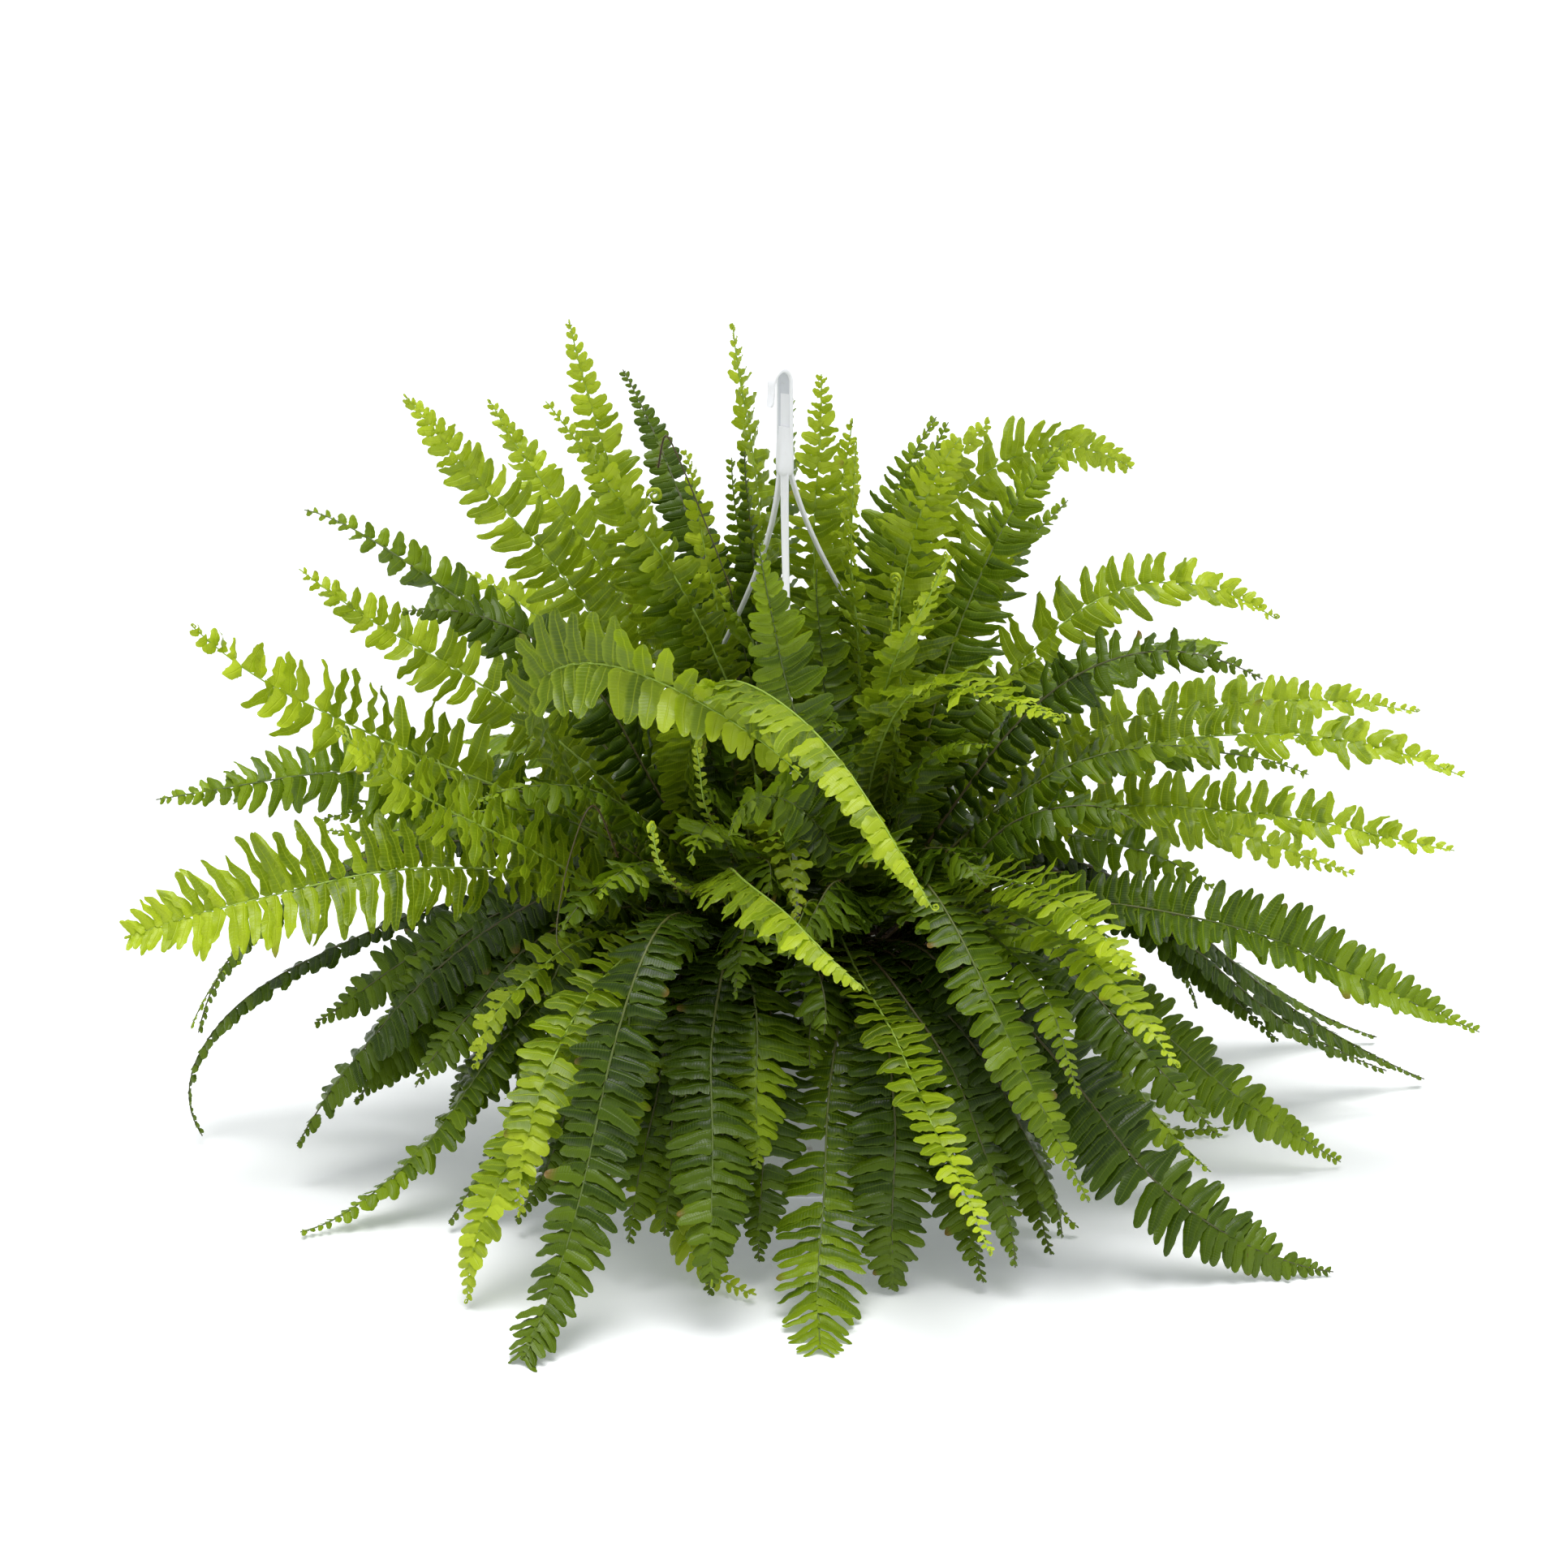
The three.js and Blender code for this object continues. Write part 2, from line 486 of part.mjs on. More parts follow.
// Length of the leaflets along a frond, as a share of its longest ones.
function leafletShare(u) {
  const { start, span, bend } = leafletTaper;
  return Math.sin(Math.PI * (start + span * u ** bend));
}

// Steep fronds grow from the middle of the pot, low ones from nearer its rim.
function rootOf({ bearing, turn, climb }) {
  const radius = rootRing[0] + rootRing[1] * Math.cos(radians(climb));
  return pointing(bearing + turn, 0).multiplyScalar(radius).setZ(soilLevel + collarHeight);
}

// A frond's arch: it leaves the root on its climb and reaches the tip on its pitch.
function archOf({ tip, bearing, turn, climb, head, pitch, reach }, root) {
  const chord = root.distanceTo(tip);
  return new THREE.CubicBezierCurve3(
    root,
    root.clone().addScaledVector(pointing(bearing + turn, climb), reach[0] * chord),
    tip.clone().addScaledVector(pointing(bearing + head, pitch), -reach[1] * chord),
    tip,
  );
}

// One frond: a bare stipe that runs on as the rib between pointed leaflets, all one closed skin.
// Only a crown's first frond goes down into the soil. The others start in it, where they leave it.
function skinOf(frond, root, isFirst) {
  const curve = archOf(frond, root);
  const leafyLength = curve.getLength() * (1 - bareShare);
  const pairs = Math.max(fewestPairs, Math.round(leafyLength / frond.spacing));
  let side = pointing(frond.bearing + frond.turn + 90, 0);
  const frameAt = (s) => {
    const along = curve.getTangentAt(s);
    side = side.clone().addScaledVector(along, -side.dot(along)).normalize();
    const up = new THREE.Vector3().crossVectors(along, side);
    const angle = radians(frond.roll) * Math.min(1, s / rollEase);
    return {
      at: curve.getPointAt(s),
      along,
      side: side.clone().multiplyScalar(Math.cos(angle)).addScaledVector(up, Math.sin(angle)),
      up: up.clone().multiplyScalar(Math.cos(angle)).addScaledVector(side, -Math.sin(angle)),
    };
  };
  const points = [];
  const faces = [];
  const put = (p) => points.push(p) - 1;
  // Corners of a rib section: left top, right top, right bottom, left bottom.
  const ribSection = (frame, s) => {
    const half = mix(ribHalfWidths, s);
    const thick = mix(ribThicknesses, s) / 2;
    return [[1, 1], [-1, 1], [-1, -1], [1, -1]].map(([a, b]) => put(frame.at.clone()
      .addScaledVector(frame.side, a * half)
      .addScaledVector(frame.up, b * thick)));
  };
  const quad = (a, b, c, d) => faces.push(a, b, c, a, c, d);
  const below = { at: root.clone().setZ(soilLevel - holeDepth), along: new THREE.Vector3(0, 0, 1) };
  below.side = side.clone();
  below.up = new THREE.Vector3().crossVectors(below.along, below.side);
  let last = ribSection(isFirst ? below : frameAt(stipeStart), 0);
  quad(last[0], last[3], last[2], last[1]);
  const link = (next) => {
    for (let k = 0; k < 4; k++) {
      quad(last[k], last[(k + 1) % 4], next[(k + 1) % 4], next[k]);
    }
    last = next;
  };
  for (let i = isFirst ? 0 : 1; i <= stipeSteps; i++) {
    const s = mix([stipeStart, bareShare], i / stipeSteps);
    link(ribSection(frameAt(s), s));
  }
  for (let i = 0; i < pairs; i++) {
    const u = (i + 0.5) / pairs;
    const mid = frameAt(mix([bareShare, lastLeafletShare], u));
    const size = frond.leaflet * leafletShare(u);
    const tips = [1, -1].map((a) => {
      const p = mid.at.clone()
        .addScaledVector(mid.side, a * size)
        .addScaledVector(mid.along, leafletLean * size)
        .addScaledVector(mid.up, -leafletDroop[frond.look] * size);
      return [1, -1].map((b) => put(p.clone().addScaledVector(mid.up, b * leafletTipThickness / 2)));
    });
    const s = mix([bareShare, lastLeafletShare], (i + 1) / pairs);
    const next = ribSection(frameAt(s), s);
    const [[leftTop, leftLow], [rightTop, rightLow]] = tips;
    quad(last[0], last[1], next[1], next[0]);
    quad(last[2], last[3], next[3], next[2]);
    faces.push(last[0], next[0], leftTop);
    faces.push(last[3], leftLow, next[3]);
    quad(last[3], last[0], leftTop, leftLow);
    quad(leftLow, leftTop, next[0], next[3]);
    faces.push(last[1], rightTop, next[1]);
    faces.push(last[2], next[2], rightLow);
    quad(last[1], last[2], rightLow, rightTop);
    quad(rightTop, rightLow, next[2], next[1]);
    last = next;
  }
  const end = frameAt(1);
  const [endTop, endLow] = [1, -1].map((b) => put(end.at.clone()
    .addScaledVector(end.up, b * leafletTipThickness / 2)));
  faces.push(last[0], last[1], endTop);
  faces.push(last[2], last[3], endLow);
  quad(last[3], last[0], endTop, endLow);
  quad(last[1], last[2], endLow, endTop);
  const geometry = new THREE.BufferGeometry();
  const numbers = points.flatMap((p) => [p.x, p.y, p.z]);
  geometry.setAttribute("position", new THREE.Float32BufferAttribute(numbers, 3));
  geometry.setIndex(faces);
  return geometry;
}

// Even draws between 0 and 1 from a small whole-number generator.
function draws(seed) {
  const factor = 16807;
  const modulus = 2147483647;
  let state = seed;
  return () => {
    state = state * factor % modulus;
    return state / modulus;
  };
}

function backFronds() {
  const draw = draws(backSeed);
  const crowns = [];
  for (let i = 0; i < backCrowns; i++) {
    const bearing = mix(backBearings, (i + 0.5 + backJitter * (draw() - 0.5)) / backCrowns);
    crowns.push(backTiers.map((tier, k) => {
      const spread = mix(tier.spread, draw());
      const height = mix(tier.height, draw());
      const leaflet = mix(tier.leaflet, draw());
      const lean = bearing + backLean * (draw() - 0.5);
      const { x, y } = pointing(lean, 0).multiplyScalar(spread);
      const climb = tier.climb + backStagger * (i % 2);
      const name = `back_${i + 1}_${k + 1}`;
      const lines = [name, x, y, height, climb, tier.pitch, bearing - lean, 0, leaflet, 0, tier.look];
      return asFrond([...lines, usualReach, backSpacing]);
    }));
  }
  return crowns;
}

function leadCrowns() {
  const followers = new Set(sharedCrowns.flatMap((names) => names.slice(1)));
  const byName = new Map(leadFronds.map((row) => [row[0], asFrond(row)]));
  return [...byName.keys()].filter((name) => !followers.has(name)).map((name) => {
    const names = sharedCrowns.find((group) => group[0] === name) ?? [name];
    return names.map((member) => byName.get(member));
  });
}

const crowns = [...leadCrowns(), ...backFronds()].map((fronds) => ({ fronds, root: rootOf(fronds[0]) }));

const holder = new THREE.Group();
holder.name = "hanging_pot";
holder.add(named("pot", pot(), potPlastic));
holder.add(named("hanger", hanger(), hangerPlastic));
holder.add(named("soil", soil(crowns.map((crown) => crown.root)), soilStuff));

const foliage = new THREE.Group();
foliage.name = "foliage";
for (const { fronds, root } of crowns) {
  const skins = fronds.map((frond, i) => skinOf(frond, root, i === 0));
  const skin = skins.length > 1 ? joined(skins) : skins[0];
  foliage.add(named(`fronds_${fronds[0].name}`, skin, frondGreens[fronds[0].look]));
}

const plant = new THREE.Group();
plant.name = "potted_fern";
plant.add(holder, foliage);

export default plant;
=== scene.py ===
# Potted sword fern in a plastic hanging pot, standing on a pale floor.
# Metres, +Z up, front toward -Y. Lengths in the dictionaries are millimetres, angles are degrees.
import math

import bpy
import numpy as np
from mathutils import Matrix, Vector


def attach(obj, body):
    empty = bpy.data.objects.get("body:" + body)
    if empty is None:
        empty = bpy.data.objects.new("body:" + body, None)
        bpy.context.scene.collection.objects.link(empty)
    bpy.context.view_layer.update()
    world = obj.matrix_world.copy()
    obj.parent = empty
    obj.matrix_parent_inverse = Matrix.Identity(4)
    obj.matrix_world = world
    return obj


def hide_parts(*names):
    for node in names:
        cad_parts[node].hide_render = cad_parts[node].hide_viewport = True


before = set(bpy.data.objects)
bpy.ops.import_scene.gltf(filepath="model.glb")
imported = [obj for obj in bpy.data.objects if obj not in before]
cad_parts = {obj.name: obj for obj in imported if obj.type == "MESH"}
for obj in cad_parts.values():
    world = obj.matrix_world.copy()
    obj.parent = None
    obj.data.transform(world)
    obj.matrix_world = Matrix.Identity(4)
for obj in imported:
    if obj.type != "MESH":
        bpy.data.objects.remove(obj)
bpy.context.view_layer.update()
mm = 0.001
fullTurn = 2 * math.pi
scene = bpy.context.scene
print("frame loaded:", len(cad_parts), "nodes")

viewpoint = {"target": (-0.013, 0.0, 0.262), "distance": 3.2, "elevation": 19.0, "lens": 110.31, "sensor": 36}


def makeCamera():
    tilt = math.radians(viewpoint["elevation"])
    target = Vector(viewpoint["target"])
    away = Vector((0, -math.cos(tilt), math.sin(tilt)))
    data = bpy.data.cameras.new("studioCamera")
    data.sensor_width = viewpoint["sensor"]
    data.lens = viewpoint["lens"]
    camera = bpy.data.objects.new("studioCamera", data)
    scene.collection.objects.link(camera)
    camera.location = target + away * viewpoint["distance"]
    camera.rotation_mode = "QUATERNION"
    camera.rotation_quaternion = (-away).to_track_quat("-Z", "Y")
    scene.camera = camera


makeCamera()


class Wire:
    # one output socket of a shader tree, so that shader maths reads as plain Python
    def __init__(self, finish, socket):
        self.finish = finish
        self.socket = socket

    def maths(self, operation, first, second=0.0):
        return self.finish.node("ShaderNodeMath", {"operation": operation}, {0: first, 1: second})

    def __add__(self, other):
        return self.maths("ADD", self, other)

    def __sub__(self, other):
        return self.maths("SUBTRACT", self, other)

    def __rsub__(self, other):
        return self.maths("SUBTRACT", other, self)

    def __mul__(self, other):
        return self.maths("MULTIPLY", self, other)

    def __abs__(self):
        return self.maths("ABSOLUTE", self)

    def sine(self):
        return self.maths("SINE", self)

    __radd__ = __add__
    __rmul__ = __mul__


class Finish:
    # a material with its node tree
    def __init__(self, name):
        self.material = bpy.data.materials.new(name)
        self.material.use_nodes = True
        self.tree = self.material.node_tree
        self.tree.nodes.clear()

    def node(self, kind, settings, sockets, out=0):
        made = self.tree.nodes.new(kind)
        for name, value in settings.items():
            setattr(made, name, value)
        for name, value in sockets.items():
            if isinstance(value, Wire):
                self.tree.links.new(value.socket, made.inputs[name])
            else:
                made.inputs[name].default_value = value
        return Wire(self, made.outputs[out]) if len(made.outputs) else None

    def attribute(self, name):
        return self.node("ShaderNodeAttribute", {"attribute_name": name}, {}, out="Fac")

    def position(self):
        return self.node("ShaderNodeTexCoord", {}, {}, out="Object")

    def noise(self, scale, detail=3.0, roughness=0.5):
        sockets = {"Vector": self.position(), "Scale": scale, "Detail": detail, "Roughness": roughness}
        return self.node("ShaderNodeTexNoise", {}, sockets)

    def ease(self, value, low, high):
        # 0 below low, 1 above high, and smooth between them
        sockets = {0: value, 1: low, 2: high, 3: 0.0, 4: 1.0}
        return self.node("ShaderNodeMapRange", {"interpolation_type": "SMOOTHSTEP"}, sockets)

    def blend(self, share, first, second):
        # between two colours, each a plain one or a wire
        low, high = [(*colour, 1) if isinstance(colour, tuple) else colour for colour in (first, second)]
        return self.node("ShaderNodeMix", {"data_type": "RGBA"}, {0: share, 6: low, 7: high}, out=2)

    def bump(self, height, strength, distance):
        return self.node("ShaderNodeBump", {}, {"Strength": strength, "Distance": distance, "Height": height})

    def surface(self, sockets):
        return self.node("ShaderNodeBsdfPrincipled", {}, sockets)

    def output(self, shader):
        self.node("ShaderNodeOutputMaterial", {}, {"Surface": shader})
        return self.material


# Leaf colours from the shaded base of a frond to its lit tip, one set for each age.
leafTones = {
    "young": {"deep": (0.036, 0.078, 0.0020), "bright": (0.190, 0.290, 0.006), "tip": (0.510, 0.630, 0.026),
              "glow": (0.44, 0.60, 0.014), "glowShare": 0.28, "rough": 0.33, "gloss": 0.38},
    "grown": {"deep": (0.020, 0.048, 0.0010), "bright": (0.086, 0.154, 0.0024), "tip": (0.270, 0.385, 0.010),
              "glow": (0.22, 0.36, 0.006), "glowShare": 0.20, "rough": 0.31, "gloss": 0.31},
    "old": {"deep": (0.010, 0.026, 0.0006), "bright": (0.044, 0.086, 0.0018), "tip": (0.120, 0.190, 0.005),
            "glow": (0.09, 0.17, 0.004), "glowShare": 0.12, "rough": 0.30, "gloss": 0.27},
}
# noise scales are per metre; pale shares say how far a line or edge turns to the tip's tone
leafPattern = {
    "patches": 55.0, "pores": 420.0, "veins": 15.0, "veinSlant": 3.2, "veinDepth": 0.25, "veinPale": 0.16,
    "midribDepth": 0.9, "midribPale": 0.45, "edgePale": 0.35, "specks": 260.0, "wear": 9.0,
    "speckTone": (0.16, 0.075, 0.02), "scorchTone": (0.22, 0.11, 0.03), "bump": (0.55, 0.0006),
}


def leafFinish(age):
    tone, pattern = leafTones[age], leafPattern
    skin = Finish(f"{age} leaflet skin")
    along = skin.attribute("leafAlong")
    across = abs(skin.attribute("leafAcross"))
    reach = skin.attribute("frondReach")
    draw = skin.attribute("leafDraw")
    patches = skin.noise(pattern["patches"], 4.0)
    lit = skin.ease(reach + (draw - 0.5) * 0.45 + (patches - 0.5) * 0.5, 0.08, 0.92)
    colour = skin.blend(lit, tone["deep"], tone["bright"])
    colour = skin.blend(skin.ease(reach + (draw - 0.5) * 0.3, 0.60, 1.02), colour, tone["tip"])
    colour = skin.blend(skin.ease(across, 0.55, 1.0) * pattern["edgePale"], colour, tone["tip"])
    # side veins slant from the midrib toward the leaflet's tip, paler than the blade
    veinWave = (along * (pattern["veins"] * fullTurn) - across * pattern["veinSlant"]).sine()
    vein = skin.ease(veinWave, 0.55, 1.0)
    midrib = 1 - skin.ease(across, 0.02, 0.13)
    colour = skin.blend(vein * pattern["veinPale"], colour, tone["tip"])
    colour = skin.blend(midrib * pattern["midribPale"], colour, tone["tip"])
    # brown specks in worn places, and a few scorched tips
    specks = skin.ease(skin.noise(pattern["specks"], 2.0), 0.70, 0.76)
    worn = skin.ease(skin.noise(pattern["wear"], 2.0) + (draw - 0.5) * 0.25, 0.60, 0.72)
    colour = skin.blend(specks * worn * 0.8, colour, pattern["speckTone"])
    scorch = skin.ease(along + (draw - 0.97) * 9.0, 0.9, 1.25)
    colour = skin.blend(scorch * 0.85, colour, pattern["scorchTone"])
    relief = vein * -pattern["veinDepth"] + midrib * -pattern["midribDepth"] + patches * 0.5
    relief = relief + skin.noise(pattern["pores"]) * 0.35
    blade = skin.surface({
        "Base Color": colour,
        "Roughness": tone["rough"] + (patches - 0.5) * 0.25 + vein * 0.06,
        "Normal": skin.bump(relief, *pattern["bump"]),
        "Specular IOR Level": tone["gloss"],
    })
    glow = skin.node("ShaderNodeBsdfTranslucent", {}, {"Color": (*tone["glow"], 1)})
    return skin.output(skin.node("ShaderNodeMixShader", {}, {0: tone["glowShare"], 1: blade, 2: glow}))


# The rib is brown at its foot and takes the leaf's green towards the tip.
ribTones = {
    "young": ((0.165, 0.235, 0.040), (0.330, 0.480, 0.060)),
    "grown": ((0.100, 0.072, 0.024), (0.115, 0.165, 0.030)),
    "old": ((0.062, 0.034, 0.015), (0.074, 0.082, 0.022)),
}
ribPattern = {"streaks": 240.0, "scales": 900.0, "scaleTone": (0.11, 0.045, 0.015), "bump": (0.5, 0.0004)}
hairTones = ((0.10, 0.045, 0.015), (0.34, 0.20, 0.08))


def ribFinish(age):
    low, high = ribTones[age]
    skin = Finish(f"{age} rib skin")
    reach = skin.attribute("frondReach")
    streaks = skin.noise(ribPattern["streaks"], 4.0, 0.6)
    colour = skin.blend(skin.ease(reach + (streaks - 0.5) * 0.3, -0.05, 0.75), low, high)
    scales = skin.ease(skin.noise(ribPattern["scales"], 2.0), 0.60, 0.68)
    scaly = scales * (1 - skin.ease(reach, 0.1, 0.8)) * 0.8
    return skin.output(skin.surface({
        "Base Color": skin.blend(scaly, colour, ribPattern["scaleTone"]),
        "Roughness": 0.5 + (streaks - 0.5) * 0.3,
        "Normal": skin.bump(streaks + scales * 0.5, *ribPattern["bump"]),
    }))


def hairFinish():
    skin = Finish("frond scales")
    grain = skin.noise(600.0, 2.0)
    return skin.output(skin.surface({
        "Base Color": skin.blend(grain, *hairTones),
        "Roughness": 0.6 + grain * 0.2,
    }))


# name, tone, shaded tone and share of dirt
plastics = {
    "pot": ("pot plastic", (0.80, 0.81, 0.80), (0.70, 0.71, 0.69), 0.55),
    "hanger": ("hanger plastic", (0.96, 0.965, 0.975), (0.90, 0.91, 0.93), 0.06),
    # the channel's plastic is painted shade: a greyer tone that stands in for the shade in the hanger's
    # channel and under its arc
    "channel": ("hanger channel painted shade", (0.70, 0.72, 0.75), (0.62, 0.64, 0.67), 0.10),
}
plasticPattern = {
    "mottle": 35.0, "grain": 1500.0, "dirt": 120.0, "dirtTone": (0.30, 0.24, 0.16), "bump": (0.12, 0.0004),
    "coat": 0.1, "coatRoughness": 0.3,
}


def plasticFinish(name, base, shade, dirtShare):
    pattern = plasticPattern
    skin = Finish(name)
    mottle = skin.noise(pattern["mottle"], 4.0)
    grain = skin.noise(pattern["grain"], 2.0)
    colour = skin.blend(skin.ease(mottle, 0.35, 0.75) * 0.5, base, shade)
    dirt = skin.ease(skin.noise(pattern["dirt"], 5.0, 0.65), 0.58, 0.74)
    return skin.output(skin.surface({
        "Base Color": skin.blend(dirt * dirtShare, colour, pattern["dirtTone"]),
        "Roughness": 0.34 + mottle * 0.16 + dirt * 0.2,
        "Normal": skin.bump(grain * 0.4 + mottle * 0.6, *pattern["bump"]),
        "Coat Weight": pattern["coat"],
        "Coat Roughness": pattern["coatRoughness"],
    }))


soilTones = {"dark": (0.012, 0.008, 0.006), "light": (0.075, 0.045, 0.026), "fibre": (0.24, 0.15, 0.08)}
soilPattern = {"crumbs": 320.0, "clouds": 60.0, "fibres": 900.0, "bump": (0.9, 0.0015)}


def soilFinish():
    skin = Finish("potting soil")
    crumbs = skin.node("ShaderNodeTexVoronoi", {"feature": "F1"},
                       {"Vector": skin.position(), "Scale": soilPattern["crumbs"]})
    cloud = skin.noise(soilPattern["clouds"], 6.0, 0.65)
    colour = skin.blend(skin.ease(cloud, 0.3, 0.75), soilTones["dark"], soilTones["light"])
    fibre = skin.ease(skin.noise(soilPattern["fibres"]), 0.62, 0.70)
    return skin.output(skin.surface({
        "Base Color": skin.blend(fibre * 0.7, colour, soilTones["fibre"]),
        "Roughness": 0.82 + cloud * 0.15,
        "Normal": skin.bump(crumbs + cloud * 0.8, *soilPattern["bump"]),
    }))


chipTones = {
    "perlite": ("perlite grains", (0.62, 0.60, 0.55), (0.82, 0.81, 0.78)),
    "bark": ("bark chips", (0.05, 0.026, 0.012), (0.17, 0.09, 0.045)),
}


def chipFinish(name, dark, light):
    skin = Finish(name)
    grain = skin.noise(700.0, 4.0, 0.6)
    return skin.output(skin.surface({
        "Base Color": skin.blend(skin.ease(grain, 0.3, 0.7), dark, light),
        "Roughness": 0.8 + grain * 0.15,
        "Normal": skin.bump(grain, 0.6, 0.0004),
    }))


finishes = {"hair": hairFinish(), "soil": soilFinish()}
for age in leafTones:
    finishes[age] = leafFinish(age)
    finishes[f"{age}Rib"] = ribFinish(age)
for name, look in plastics.items():
    finishes[name] = plasticFinish(*look)
for name, look in chipTones.items():
    finishes[name] = chipFinish(*look)
print("finishes made:", len(finishes))

